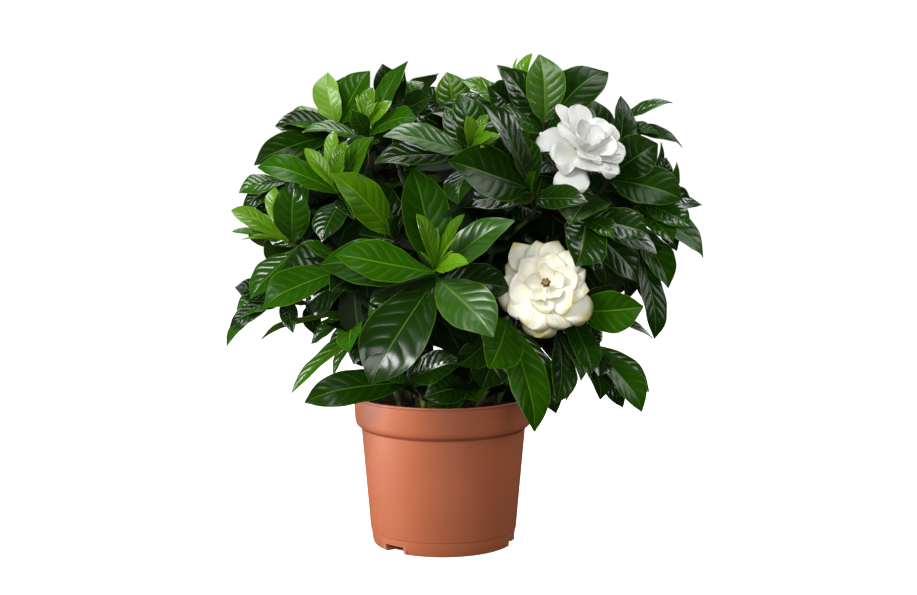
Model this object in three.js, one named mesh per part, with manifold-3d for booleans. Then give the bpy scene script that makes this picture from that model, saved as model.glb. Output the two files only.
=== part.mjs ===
// Potted gardenia: a leafy shrub with two double white blooms, in a round plastic nursery pot.
// Millimetres, +Z up, the front towards -Y, the origin in the middle of the pot's flat underside.

import * as THREE from "three";
import { mergeVertices } from "three/addons/utils/BufferGeometryUtils.js";
import Module from "manifold-3d";

const wasm = await Module();
wasm.setup();

// Driving sizes of the pot
const POT_HEIGHT = 118;
const RIM_RADIUS = 70;
const RIM_BAND = 24;
const BODY_TOP_RADIUS = 64.4;
const BODY_BASE_RADIUS = 57;
const FOOT_HEIGHT = 12;
const FOOT_RADIUS = 55.2;
const WALL = 1.7;
const FLOOR = 2.4;
const POT_SIDES = 32;
const FOOT_WALL = 2.2;
const FOOT_INSIDE = FOOT_RADIUS - FOOT_WALL;
const NOTCH_ANGLES = [-133, -13, 107];
const NOTCH_HEIGHT = 6;
const NOTCH_DEPTH = 10;
const NOTCH_WIDTH = 21;
const DRAIN_RADIUS = 3;
const DRAIN_SIDES = 8;

// Driving sizes of the soil and the stems
const SOIL_BELOW_RIM = 11;
const SEAT_GAP = 0.3;
const STEM_RADIUS = 2.3;
const SHOOT_RADIUS = 2;
const STEM_SIDES = 5;
const SHOOT_SIDES = 4;
const STEM_DEPTH = 22;
const LONGEST_STRAIGHT = 38;
const BLOOM_NECK = 14;
const HUB_LENGTH = 10;
const CALYX_LENGTH = 9;
const SOIL_SIDES = 16;
const HOLE_ROOM = 0.5;

// Driving sizes of the leaves and petals
const LEAF_MIDRIB = 1.4;
const YOUNG_MIDRIB = 1.1;
const PETAL_MIDRIB = 1.1;
const LEAF_CLEARANCE = 0.45;
const ROOT_SINK = 1.5;
const SHOWN_FACE = 0.75;
const CROWN_CENTRE = new THREE.Vector3(15, 0, 235);
const CROWN_SPREAD = 172;
const CROWN_DEPTH = 145;
const CROWN_RISE = 136;
const CROWN_DROP = 82;
const FRONT = new THREE.Vector3(0, -1, 0.12).normalize();
const UP = new THREE.Vector3(0, 0, 1);

// A blade's form, as [way along, share of the full width, share of the full thickness]
const LEAF_OUTLINE = [[0.12, 0.17, 1.3], [0.38, 0.9, 1], [0.7, 0.94, 0.9]];
const YOUNG_OUTLINE = [[0.22, 0.5, 1.1], [0.6, 1, 1]];
const PETAL_OUTLINE = [[0.2, 0.22, 1.2], [0.6, 0.9, 1], [0.88, 0.84, 0.8]];

// Each stem rises from its hole in the soil, [x, y], to its fork, [x, y, z].
const STEMS = {
  front: { hole: [0, -34], fork: [2, -50, 160] },
  left: { hole: [-34, -12], fork: [-48, -22, 160] },
  upper_left: { hole: [-19, -19], fork: [-42, -30, 215] },
  top: { hole: [-8, 2], fork: [-14, -6, 235] },
  top_right: { hole: [12, -6], fork: [38, -22, 230] },
  bloom_upper: { hole: [28, 0], fork: [72, -22, 215] },
  right: { hole: [42, 4], fork: [92, -2, 190] },
  bloom_lower: { hole: [24, -26], fork: [58, -38, 150] },
  low: { hole: [-14, -42], fork: [-15, -44, 116] },
  back_left: { hole: [-28, 24], fork: [-55, 40, 190] },
  back: { hole: [2, 28], fork: [6, 50, 215] },
  back_right: { hole: [30, 26], fork: [62, 44, 185] },
};

// Each shoot: stem, name, tip, way it points, leaves that grow by rule in pairs, then its shown leaves
// as [tip x, y, z, width, share of the face shown to the front] and its young leaves the same way.
const SHOOTS = [
  ["front", "front", [-5, -100, 225], [-0.05, -0.85, 0.5], 0,
    [[-75, -120, 240, 31, 0.85], [-20, -105, 300, 38, 0.95], [50, -112, 265, 29, 0.8],
      [-90, -98, 232, 38, 0.88], [-52, -138, 150, 46, 0.95], [36, -140, 185, 38, 0.95],
      [50, -85, 208, 34, 0.9], [-55, -90, 192, 32, 0.8]],
    [[-15, -125, 268, 14], [10, -122, 268, 12], [16, -136, 236, 15]]],
  ["front", "front_low", [48, -82, 188], [0.15, -0.8, 0.2], 0,
    [[35, -122, 158, 36, 0.9], [70, -112, 110, 34, 0.85], [80, -94, 125, 26, 0.7],
      [10, -72, 150, 28, 0.8], [-4, -62, 166, 26, 0.8], [24, -64, 132, 30, 0.8, 0.03],
      [50, -62, 138, 28, 0.8, 0.03]], []],
  ["front", "front_inner", [-35, -72, 248], [-0.2, -0.7, 0.6], 0,
    [[-76, -104, 296, 32, 0.85], [-42, -92, 262, 16, 0.6], [-58, -60, 290, 30, 0.85],
      [-75, -70, 250, 28, 0.8]], []],
  ["left", "left", [-115, -44, 240], [-0.75, -0.35, 0.5], 0,
    [[-115, -74, 290, 28, 0.85], [-104, -46, 290, 26, 0.6], [-144, -62, 202, 28, 0.8, 0.04],
      [-142, -20, 262, 24, 0.6]],
    [[-156, -58, 266, 17], [-153, -64, 254, 12], [-140, -44, 276, 15]]],
  ["left", "left_outer", [-126, -22, 197], [-0.85, -0.3, 0.3], 0,
    [[-158, -30, 186, 25, 0.6], [-166, -40, 164, 25, 0.5], [-152, -8, 205, 26, 0.6]], []],
  ["left", "left_inner", [-72, -64, 224], [-0.55, -0.6, 0.45], 0,
    [[-102, -84, 245, 16, 0.6], [-132, -84, 200, 32, 0.75], [-120, -54, 218, 38, 0.9],
      [-107, -34, 190, 34, 0.9, 0.03],
      [-90, -90, 213, 24, 0.75]], []],
  ["left", "left_low", [-65, -36, 190], [-0.7, -0.3, 0.1], 0,
    [[-70, -76, 163, 26, 0.75], [-140, -40, 177, 24, -0.5, 0], [-105, -10, 160, 20, 0.5],
      [-98, 6, 165, 16, 0.4], [-116, -58, 132, 15, 0.5, -0.03], [-86, -30, 136, 22, 0.7],
      [-72, -54, 150, 22, 0.7]], []],
  ["upper_left", "left_top", [-118, -18, 286], [-0.6, -0.3, 0.7], 0,
    [[-155, -25, 278, 20, 0.6], [-150, -26, 258, 18, 0.5], [-142, 6, 296, 28, 0.6]],
    []],
  ["upper_left", "upper_left", [-76, -74, 280], [-0.3, -0.6, 0.7], 0,
    [[-45, -98, 313, 25, 0.7], [-124, -104, 305, 29, 0.65], [-64, -90, 262, 24, 0.75],
      [-88, -92, 248, 26, 0.7], [-56, -70, 312, 26, 0.7]],
    [[-80, -76, 325, 14], [-74, -90, 320, 13], [-96, -86, 314, 12]]],
  ["upper_left", "top_left", [-56, -54, 324], [-0.1, -0.45, 0.9], 0,
    [[-20, -84, 337, 24, 0.55], [-62, -74, 346, 14, 0.8], [-100, -76, 324, 24, 0.5],
      [-64, -84, 310, 24, 0.75], [-27, -36, 376, 24, 0.7, 0.15], [-32, -30, 344, 24, 0.7]],
    [[-52, -66, 356, 13], [-61, -52, 357, 10], [-45, -64, 354, 10]]],
  ["upper_left", "crest_left", [-80, -24, 328], [-0.35, -0.2, 0.9], 0,
    [[-56, -34, 368, 30, 0.85], [-88, -30, 366, 24, 0.85], [-124, -32, 328, 33, 0.8, 0.25],
      [-139, -60, 302, 25, 0.85], [-72, -14, 364, 24, 0.7],
      [-112, -46, 312, 26, 0.8]], []],
  ["top", "crest", [-38, -10, 340], [-0.05, -0.15, 0.98], 0,
    [[-30, -22, 370, 28, 0.75], [-15, 2, 360, 18, 0.8], [-12, -24, 334, 28, 0.8],
      [-6, -30, 345, 24, 0.7]], []],
  ["top", "crest_middle", [6, 6, 330], [0, -0.1, 1], 0,
    [[4, 0, 366, 30, 0.85], [-14, -8, 356, 24, 0.8], [24, -6, 356, 24, 0.8],
      [-12, -32, 338, 26, 0.8]], []],
  ["top", "upper_middle", [20, -80, 310], [0, -0.65, 0.76], 0,
    [[-40, -108, 326, 28, 0.7], [-44, -120, 315, 28, 0.7], [14, -84, 352, 28, 0.8],
      [0, -76, 341, 24, 0.75], [0, -110, 272, 26, 0.75]],
    [[19, -97, 336, 12], [31, -90, 337, 9], [41, -100, 326, 11], [35, -112, 324, 12]]],
  ["top_right", "top_right", [76, -34, 330], [0.05, -0.35, 0.93], 0,
    [[73, -46, 380, 32, 0.95], [45, -56, 370, 28, 0.7], [42, -28, 373, 22, 0.7],
      [42, -72, 338, 24, 0.75], [125, -20, 371, 36, 0.85, 0.35]], []],
  ["top_right", "crest_right", [54, -4, 340], [-0.1, -0.1, 0.98], 1,
    [[34, -22, 362, 24, 0.7], [16, -10, 362, 20, 0.6], [-6, -42, 339, 26, 0.7]],
    [[66, -6, 381, 13]]],
  ["top_right", "middle", [64, -74, 284], [-0.1, -0.8, 0.55], 0,
    [[0, -118, 304, 40, 0.95], [29, -100, 341, 30, 0.8], [52, -88, 319, 30, 0.85],
      [65, -112, 297, 10, 0.5], [10, -90, 273, 27, 0.75], [45, -104, 278, 20, 0.6],
      [106, -96, 281, 20, 0.6, 0.04]], []],
  ["bloom_upper", "under_upper_bloom", [128, -30, 292], [0.45, -0.4, 0.8], 1,
    [[137, -10, 349, 30, 0.8], [160, -40, 314, 32, 0.8], [177, -60, 275, 36, 0.8],
      [164, -16, 296, 28, 0.7], [112, 6, 350, 30, 0.8]], []],
  ["bloom_upper", "right_inner", [108, -66, 262], [0.45, -0.75, 0.4], 0,
    [[98, -100, 230, 38, 0.97], [152, -74, 250, 30, 0.8], [161, -60, 235, 28, 0.7],
      [124, -86, 250, 22, 0.7], [148, -60, 213, 34, 0.8], [126, -70, 214, 32, 0.85]], []],
  ["right", "right_top", [134, 12, 328], [0.55, -0.1, 0.8], 1,
    [[174, -2, 346, 13, 0.6, 0.12], [168, 15, 320, 18, 0.6], [189, 26, 311, 16, 0.4],
      [156, 2, 320, 26, 0.75]], []],
  ["right", "right", [160, -8, 270], [0.8, -0.25, 0.5], 0,
    [[180, -14, 297, 20, 0.6], [183, -20, 276, 24, 0.7], [200, 2, 266, 24, 0.6],
      [187, -30, 252, 26, 0.8], [174, -34, 240, 24, 0.8], [204, -4, 227, 30, 0.6],
      [182, -10, 232, 26, 0.8], [170, 0, 312, 24, 0.6],
      [174, -30, 206, 28, 0.85, 0.05]], []],
  ["right", "right_low", [150, -22, 234], [0.7, -0.35, 0.15], 0,
    [[176, 2, 206, 22, 0.7], [161, -50, 168, 26, 0.7], [168, -18, 199, 22, 0.7],
      [163, -42, 193, 16, 0.5], [182, -10, 216, 26, 0.75], [152, -30, 196, 28, 0.75]], []],
  ["bloom_lower", "under_lower_bloom", [96, -64, 190], [0.3, -0.8, 0.1], 0,
    [[147, -84, 196, 32, 0.95], [158, -60, 171, 14, 0.5], [111, -94, 151, 24, 0.8],
      [132, -56, 208, 30, 0.8]], []],
  ["bloom_lower", "low_right", [86, -56, 176], [0.3, -0.6, -0.1], 0,
    [[104, -106, 154, 20, 0.8], [84, -110, 130, 26, 0.7], [94, -76, 126, 14, 0.6]],
    []],
  ["bloom_lower", "right_bottom", [112, -44, 162], [0.5, -0.5, -0.1], 0,
    [[152, -64, 117, 27, 0.7], [116, -84, 146, 24, 0.7], [119, -70, 126, 24, 0.75],
      [156, -52, 129, 26, 0.8, 0.02]], []],
  ["low", "low_left", [-27, -32, 136], [-0.3, -0.3, 0.6], 0,
    [[12, -66, 154, 26, 0.8], [-46, -56, 141, 14, 0.7], [-106, -58, 123, 28, 0.9, 0.3],
      [-10, -48, 144, 16, 0.6]], []],
  ["low", "low_front", [22, -36, 132], [0.3, -0.4, 0.6], 0,
    [[-20, -50, 136, 24, 0.6], [-31, -76, 124, 26, 0.7], [27, -58, 126, 14, 0.6],
      [42, -50, 148, 26, 0.75]], []],
  ["back_left", "back_left_high", [-95, 60, 290], [-0.5, 0.5, 0.75], 3, [], []],
  ["back_left", "back_left_middle", [-112, 50, 235], [-0.75, 0.5, 0.4], 3, [], []],
  ["back_left", "back_left_low", [-60, 80, 200], [-0.4, 0.8, 0.3], 2, [], []],
  ["back", "back_crest", [-35, 55, 330], [-0.2, 0.4, 0.9], 3, [], []],
  ["back", "back_high", [25, 90, 295], [0.1, 0.8, 0.6], 3, [], []],
  ["back", "back_middle", [-30, 105, 245], [-0.2, 0.9, 0.35], 3, [], []],
  ["back", "back_low", [25, 88, 200], [0.1, 0.9, 0.2], 2, [], []],
  ["back_right", "back_right_crest", [75, 50, 322], [0.2, 0.4, 0.9], 3, [], []],
  ["back_right", "back_right_high", [128, 58, 280], [0.6, 0.5, 0.6], 3, [], []],
  ["back_right", "back_right_middle", [95, 92, 240], [0.4, 0.85, 0.35], 3, [], []],
  ["back_right", "back_right_low", [88, 66, 198], [0.5, 0.7, 0.2], 2, [], []],
];

// Each bloom: centre, way it faces, then its petals in layers from the outside in, as
// [angle round the bloom, reach, rise towards the viewer, width].
const BLOOMS = [
  {
    name: "bloom_upper", stem: "bloom_upper", heart: false,
    centre: [104, -58, 309], facing: [0.22, -0.62, 0.75],
    layers: [
      [[148, 36, -2, 28], [-122, 36, -9, 26], [-50, 31, 2, 27], [8, 34, 3, 26], [70, 33, 2, 26]],
      [[203, 29, 3, 24], [34, 32, 10, 24], [-15, 30, 6, 24], [-90, 26, 6, 29]],
      [[118, 34, 20, 17], [90, 31, 18, 20], [150, 24, 16, 19], [40, 23, 17, 20], [-25, 22, 13, 22],
        [-100, 19, 11, 20]],
      [[120, 12, 22, 15], [30, 12, 19, 15], [-60, 10, 16, 15], [-150, 12, 20, 15]],
    ],
  },
  {
    name: "bloom_lower", stem: "bloom_lower", heart: true,
    centre: [76, -88, 212], facing: [-0.08, -0.93, 0.35],
    layers: [
      [[126, 43, -2, 25], [78, 38, -2, 23], [27, 32, 0, 24], [-34, 39, -1, 25], [-100, 38, -2, 26],
        [-171, 38, -2, 25], [150, 37, -4, 24]],
      [[103, 37, 1, 22], [51, 35, 2, 22], [-5, 31, 4, 22], [-62, 34, 2, 25], [-107, 34, 8, 24],
        [-144, 34, 2, 23]],
      [[135, 26, 9, 23], [75, 23, 11, 20], [15, 24, 10, 20], [-42, 24, 13, 20], [-100, 20, 10, 18],
        [-165, 27, 7, 24]],
      [[95, 15, 14, 13], [23, 15, 14, 13], [-49, 15, 14, 13], [-121, 16, 14, 13], [167, 15, 14, 13]],
    ],
  },
];

// Colours, roughness
const LOOKS = {
  pot: ["#be6a4b", 0.5],
  soil: ["#2a1f18", 0.95],
  leaf: ["#2f5a26", 0.3],
  young: ["#a9c94a", 0.35],
  petal: ["#f4f2ea", 0.55],
  heart: ["#b98a3a", 0.7],
};

// Steady random numbers, the same on every run
class Draws {
  constructor(seed) {
    this.state = 7919 * seed + 17;
    this.next();
    this.next();
  }

  next() {
    this.state = (16807 * this.state) % 2147483647;
    return this.state / 2147483647;
  }

  between(low, high) {
    return low + (high - low) * this.next();
  }
}

// Solids

function solidOf(vertices, triangles) {
  const vertProperties = Float32Array.from(vertices);
  const triVerts = Uint32Array.from(triangles);
  return new wasm.Manifold(new wasm.Mesh({ numProp: 3, vertProperties, triVerts }));
}

function solidFrom(geometry) {
  const plain = geometry.clone();
  plain.deleteAttribute("normal");
  plain.deleteAttribute("uv");
  const merged = mergeVertices(plain, 1e-4);
  return solidOf(merged.attributes.position.array, merged.index.array);
}

function lathe(profile, sides) {
  const points = profile.map(([radius, height]) => new THREE.Vector2(radius, height));
  return new THREE.LatheGeometry(points, sides).rotateX(Math.PI / 2);
}

function turnedTo(geometry, direction, place) {
  const turn = new THREE.Quaternion().setFromUnitVectors(UP, direction);
  return geometry.applyQuaternion(turn).translate(...place.toArray());
}

function polygon(radius, sides) {
  const corners = Array.from({ length: sides }, (_, i) => (2 * Math.PI * i) / sides);
  return new THREE.Shape(corners.map((a) => new THREE.Vector2(radius * Math.cos(a), radius * Math.sin(a))));
}

// A path with a corner at each of its points, so that a tube along it has a ring at each
class Corners extends THREE.Curve {
  constructor(points) {
    super();
    this.points = points;
  }

  getUtoTmapping(share) {
    return share;
  }

  getPoint(share, target = new THREE.Vector3()) {
    const at = share * (this.points.length - 1);
    const from = Math.min(Math.floor(at), this.points.length - 2);
    return target.lerpVectors(this.points[from], this.points[from + 1], at - from);
  }
}

function tube(points, radius, sides) {
  const settings = { steps: points.length - 1, extrudePath: new Corners(points), bevelEnabled: false };
  return solidFrom(new THREE.ExtrudeGeometry(polygon(radius, sides), settings));
}

function post(x, y, low, high, radius, sides) {
  const settings = { depth: high - low, bevelEnabled: false };
  return solidFrom(new THREE.ExtrudeGeometry(polygon(radius, sides), settings).translate(x, y, low));
}

// The pot

function notchBlock(grow) {
  const half = NOTCH_WIDTH / 2 + grow;
  const back = FOOT_RADIUS - NOTCH_DEPTH - grow;
  const front = FOOT_RADIUS - WALL / 2 + (grow > 0 ? 0 : 10);
  const shape = new THREE.Shape([
    new THREE.Vector2(back, -0.8 * half), new THREE.Vector2(front, -half),
    new THREE.Vector2(front, half), new THREE.Vector2(back, 0.8 * half),
  ]);
  const low = grow > 0 ? FLOOR / 2 : -1;
  const settings = { depth: NOTCH_HEIGHT + grow - low, bevelEnabled: false };
  return new THREE.ExtrudeGeometry(shape, settings).translate(0, 0, low);
}

function eachNotch(grow) {
  return NOTCH_ANGLES.map((angle) => solidFrom(notchBlock(grow).rotateZ(THREE.MathUtils.degToRad(angle))));
}

function makePot() {
  const step = POT_HEIGHT - RIM_BAND;
  const shell = lathe([
    [0, 0], [FOOT_INSIDE, 0], [FOOT_RADIUS, 2.5], [FOOT_RADIUS + 1, FOOT_HEIGHT - 0.6],
    [BODY_BASE_RADIUS, FOOT_HEIGHT], [BODY_TOP_RADIUS, step - 1.5], [RIM_RADIUS - 2.4, step],
    [RIM_RADIUS - 1.3, step + 3], [RIM_RADIUS, POT_HEIGHT - 1], [RIM_RADIUS - 0.7, POT_HEIGHT],
    [RIM_RADIUS - WALL, POT_HEIGHT], [RIM_RADIUS - 3, step + 3.5], [BODY_TOP_RADIUS - WALL, step - 1],
    [FOOT_INSIDE, FLOOR + 3], [FOOT_INSIDE - 3, FLOOR], [0, FLOOR],
  ], POT_SIDES);
  let pot = solidFrom(shell);
  for (const housing of eachNotch(WALL)) pot = pot.add(housing);
  for (const notch of eachNotch(0)) pot = pot.subtract(notch);
  const drainAt = FOOT_RADIUS - NOTCH_DEPTH / 2 - 1;
  for (const angle of NOTCH_ANGLES) {
    const turn = THREE.MathUtils.degToRad(angle);
    const [x, y] = [Math.cos(turn) * drainAt, Math.sin(turn) * drainAt];
    pot = pot.subtract(post(x, y, NOTCH_HEIGHT - 1, NOTCH_HEIGHT + 2 * WALL, DRAIN_RADIUS, DRAIN_SIDES));
  }
  return pot;
}

// The soil

function soilTop(x, y) {
  const lump = 1.1 * Math.sin(0.16 * x + 1) * Math.cos(0.13 * y) + 0.8 * Math.sin(0.07 * x - 0.19 * y);
  return POT_HEIGHT - SOIL_BELOW_RIM + lump;
}

function makeSoil() {
  const step = POT_HEIGHT - RIM_BAND;
  const edge = RIM_RADIUS - 2.4 - SEAT_GAP;
  const top = POT_HEIGHT - SOIL_BELOW_RIM;
  const geometry = lathe([
    [0, FLOOR + SEAT_GAP], [FOOT_INSIDE - 3.2, FLOOR + SEAT_GAP], [FOOT_INSIDE - SEAT_GAP, FLOOR + 3.2],
    [BODY_TOP_RADIUS - WALL - SEAT_GAP, step], [RIM_RADIUS - 3.2 - SEAT_GAP, step + 4.3],
    [edge - 0.2, top], [46, top], [23, top], [0, top],
  ], SOIL_SIDES);
  const places = geometry.attributes.position;
  for (let i = 0; i < places.count; i += 1) {
    const [x, y, z] = [places.getX(i), places.getY(i), places.getZ(i)];
    if (z > top - 0.01 && Math.hypot(x, y) < edge - 1) places.setZ(i, soilTop(x, y));
  }
  let soil = solidFrom(geometry);
  for (const housing of eachNotch(WALL + SEAT_GAP)) soil = soil.subtract(housing);
  for (const { hole } of Object.values(STEMS)) {
    const floor = POT_HEIGHT - SOIL_BELOW_RIM - STEM_DEPTH;
    soil = soil.subtract(post(...hole, floor, POT_HEIGHT, STEM_RADIUS + HOLE_ROOM, STEM_SIDES + 1));
  }
  return soil;
}

// Blades: leaves, young leaves, petals and sepals

function across(vector, line) {
  return vector.clone().addScaledVector(line, -vector.dot(line)).normalize();
}

function blend(first, share, second, otherShare) {
  return first.clone().multiplyScalar(share).addScaledVector(second, otherShare);
}

function shownFace(chord, axis, shown) {
  const seen = across(FRONT, chord);
  const aside = chord.clone().cross(seen);
  if (aside.dot(axis) < 0) aside.negate();
  return blend(seen, shown, aside, Math.sqrt(1 - shown * shown));
}

// The shares of width and thickness at one place along a blade, between the rows of its outline
function sharesAt(outline, way) {
  const rows = [[0, 0, 1], ...outline, [1, 0, 1]];
  const next = Math.max(1, rows.findIndex(([at]) => at >= way));
  const [from, to] = [rows[next - 1], rows[next]];
  const along = (way - from[0]) / (to[0] - from[0]);
  return [1, 2].map((k) => from[k] + (to[k] - from[k]) * along);
}

function bladeFrame(blade, way) {
  const chord = blade.tip.clone().sub(blade.root);
  const length = chord.length();
  const bend = blade.up.clone().multiplyScalar(2 * blade.arch * length);
  bend.addScaledVector(UP, 2 * blade.sag * length);
  const centre = blade.root.clone().addScaledVector(chord, way).addScaledVector(bend, way * (1 - way));
  const tangent = chord.clone().addScaledVector(bend, 1 - 2 * way).normalize();
  const side = tangent.clone().cross(blade.up).normalize();
  const normal = side.clone().cross(tangent);
  return { centre, side, normal };
}

// One cross-section: left edge, upper midrib, right edge, lower midrib
function bladeSection(blade, way, outline, grow) {
  const { centre, side, normal } = bladeFrame(blade, way);
  const [wide, thick] = sharesAt(outline, way);
  const half = (blade.width / 2) * wide + grow;
  const edge = (s) => {
    const ripple = blade.wave * Math.sin(blade.phase + 9 * way + 1.3 * s);
    const rise = half * (blade.fold + ripple);
    return centre.clone().addScaledVector(side, s * half).addScaledVector(normal, rise);
  };
  const top = centre.clone().addScaledVector(normal, grow);
  const bottom = centre.clone().addScaledVector(normal, -blade.thick * thick - grow);
  return [edge(-1), top, edge(1), bottom];
}

// A closed blade from its sunk root, or from a cut part of the way along, to its tip
function bladeSolid(blade, outline, start = 0, grow = 0) {
  const ways = outline.map(([way]) => way).filter((way) => way > start);
  if (start > 0) ways.unshift(start);
  const points = ways.flatMap((way) => bladeSection(blade, way, outline, grow));
  const { centre, normal } = bladeFrame(blade, 1 + (0.5 * grow) / blade.width);
  points.push(centre.addScaledVector(normal, -blade.thick / 2));
  const triangles = [];
  for (let i = 0; i + 1 < ways.length; i += 1) {
    const [l, t, r, b] = [0, 1, 2, 3].map((k) => 4 * i + k);
    const [ln, tn, rn, bn] = [l + 4, t + 4, r + 4, b + 4];
    triangles.push(l, t, tn, l, tn, ln, t, r, tn, r, rn, tn);
    triangles.push(l, bn, b, l, ln, bn, b, bn, r, r, bn, rn);
  }
  const [l, t, r, b, tip] = [0, 1, 2, 3, 4].map((k) => 4 * (ways.length - 1) + k);
  triangles.push(l, t, tip, t, r, tip, r, b, tip, b, l, tip);
  if (start > 0) {
    triangles.push(0, 2, 1, 0, 3, 2);
  } else {
    points.push(blade.root);
    const root = tip + 1;
    triangles.push(root, 1, 0, root, 2, 1, root, 3, 2, root, 0, 3);
  }
  return solidOf(points.flatMap((point) => point.toArray()), triangles);
}

// Room between blades: what stands already, and the small moves that bend a new blade clear of it

const MOVES = [[0, 0], [0.12, 0], [-0.12, 0], [0, 0.12], [0, -0.12], [0.25, 0.1], [-0.25, 0.1],
  [0.2, -0.25], [-0.2, -0.25], [0.4, 0], [-0.4, 0], [0, 0.4]];
const ROLLS = [0, 0.35, -0.35];
const REACHES = [1, 0.85, 0.7, 0.55];
const CLEAR_START = 0.2;

const standing = [];

function stand(node, solid) {
  standing.push({ node, solid, box: solid.boundingBox() });
}

function boxesMeet(a, b) {
  return [0, 1, 2].every((k) => a.min[k] < b.max[k] && b.min[k] < a.max[k]);
}

function meets(solid, box, other) {
  if (!boxesMeet(box, other.box)) return false;
  const shared = solid.intersect(other.solid);
  const met = !shared.isEmpty();
  shared.delete();
  return met;
}

// A blade may touch its own plant near its root only.
function isClear(node, blade, outline) {
  const whole = bladeSolid(blade, outline, 0, LEAF_CLEARANCE);
  const outer = bladeSolid(blade, outline, CLEAR_START, LEAF_CLEARANCE);
  const [wholeBox, outerBox] = [whole.boundingBox(), outer.boundingBox()];
  const crossed = standing.some((other) => (other.node === node
    ? meets(outer, outerBox, other) : meets(whole, wholeBox, other)));
  whole.delete();
  outer.delete();
  return !crossed;
}

function moved(blade, reach, [turn, lift], roll) {
  const chord = blade.tip.clone().sub(blade.root);
  const length = chord.length();
  const ahead = chord.divideScalar(length);
  const side = ahead.clone().cross(blade.up);
  const aimed = ahead.addScaledVector(side, turn).addScaledVector(blade.up, lift).normalize();
  const up = across(blade.up.clone().addScaledVector(side, roll), aimed);
  const tip = blade.root.clone().addScaledVector(aimed, length * reach);
  return { ...blade, tip, up, width: blade.width * (0.4 + 0.6 * reach) };
}

function placedBlade(node, blade, outline) {
  for (const reach of REACHES) {
    for (const move of MOVES) {
      for (const roll of ROLLS) {
        const candidate = moved(blade, reach, move, roll);
        if (isClear(node, candidate, outline)) {
          const solid = bladeSolid(candidate, outline);
          stand(node, solid);
          return [solid];
        }
      }
    }
  }
  return [];
}

// Stems and shoots

// A shoot leaves its fork upwards, bends over and ends in a straight length along its axis.
function shootPoints(fork, tip, axis, straight) {
  const join = tip.clone().addScaledVector(axis, -straight);
  const swing = join.distanceTo(fork) / 8;
  const middle = fork.clone().lerp(join, 0.5);
  middle.addScaledVector(UP, 0.6 * swing).addScaledVector(axis, -swing);
  return [fork, middle, join, tip];
}

function shootSpot(shoot, back) {
  return shoot.tip.clone().addScaledVector(shoot.axis, -Math.min(back, shoot.straight));
}

function readShoot([stem, name, tip, axis, pairs, shown, young]) {
  const [end, fork] = [new THREE.Vector3(...tip), new THREE.Vector3(...STEMS[stem].fork)];
  const way = new THREE.Vector3(...axis).normalize();
  const straight = Math.min(LONGEST_STRAIGHT, 0.6 * end.distanceTo(fork));
  const points = shootPoints(fork, end, way, straight);
  return { stem, name, tip: end, axis: way, straight, pairs, shown, young, points };
}

function bloomShoot(bloom) {
  const facing = new THREE.Vector3(...bloom.facing).normalize();
  const tip = new THREE.Vector3(...bloom.centre).addScaledVector(facing, 1 - CALYX_LENGTH - HUB_LENGTH);
  return shootPoints(new THREE.Vector3(...STEMS[bloom.stem].fork), tip, facing, BLOOM_NECK);
}

function stemPoints(name) {
  const { hole, fork } = STEMS[name];
  const surface = POT_HEIGHT - SOIL_BELOW_RIM;
  const foot = new THREE.Vector3(...hole, surface - STEM_DEPTH + SEAT_GAP);
  const collar = new THREE.Vector3(...hole, surface + 2);
  const top = new THREE.Vector3(...fork);
  const middle = top.clone().lerp(collar, 0.5).addScaledVector(UP, 0.08 * top.distanceTo(collar));
  return [foot, collar, middle, top.clone().addScaledVector(UP, STEM_RADIUS)];
}

// Blooms

const LAYER_ROOTS = [-6, -3.4, -1, 1.2];
const LAYER_ARCH = [0.12, 0.1, 0.04, -0.14];
const LAYER_FOLD = [0.02, 0.06, 0.2, 0.5];
const SEPALS = 6;

function bloomFrame(bloom) {
  const facing = new THREE.Vector3(...bloom.facing).normalize();
  const right = UP.clone().cross(facing).normalize();
  const above = facing.clone().cross(right);
  const centre = new THREE.Vector3(...bloom.centre);
  const at = (angle, reach, rise) => {
    const turn = (angle * Math.PI) / 180;
    return centre.clone().addScaledVector(right, reach * Math.cos(turn))
      .addScaledVector(above, reach * Math.sin(turn)).addScaledVector(facing, rise);
  };
  return { facing, centre, at };
}

function petalBlade(frame, layer, [angle, reach, rise, width], draws) {
  const root = frame.at(angle, 1, LAYER_ROOTS[layer]);
  const tip = frame.at(angle, reach, rise);
  const up = across(frame.facing, tip.clone().sub(root).normalize());
  return {
    root, tip, up, width, thick: PETAL_MIDRIB, arch: LAYER_ARCH[layer], sag: 0, fold: LAYER_FOLD[layer],
    wave: 0.1, phase: draws.between(0, 2 * Math.PI),
  };
}

function makePetals(bloom, seed) {
  const frame = bloomFrame(bloom);
  const draws = new Draws(seed);
  const hub = lathe([[0, -HUB_LENGTH], [3, -HUB_LENGTH], [4.2, -7], [4.6, 1], [3.4, 2.8], [0, 3]], 8);
  let solid = solidFrom(turnedTo(hub, frame.facing, frame.centre));
  bloom.layers.forEach((rows, layer) => {
    for (const row of rows) {
      const petal = petalBlade(frame, layer, row, draws);
      solid = solid.add(bladeSolid(petal, PETAL_OUTLINE));
    }
  });
  if (!bloom.heart) return solid;
  const room = lathe([[0, 3], [2.8, 3], [2.8, 20], [0, 20]], 8);
  return solid.subtract(solidFrom(turnedTo(room, frame.facing, frame.centre)));
}

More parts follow.
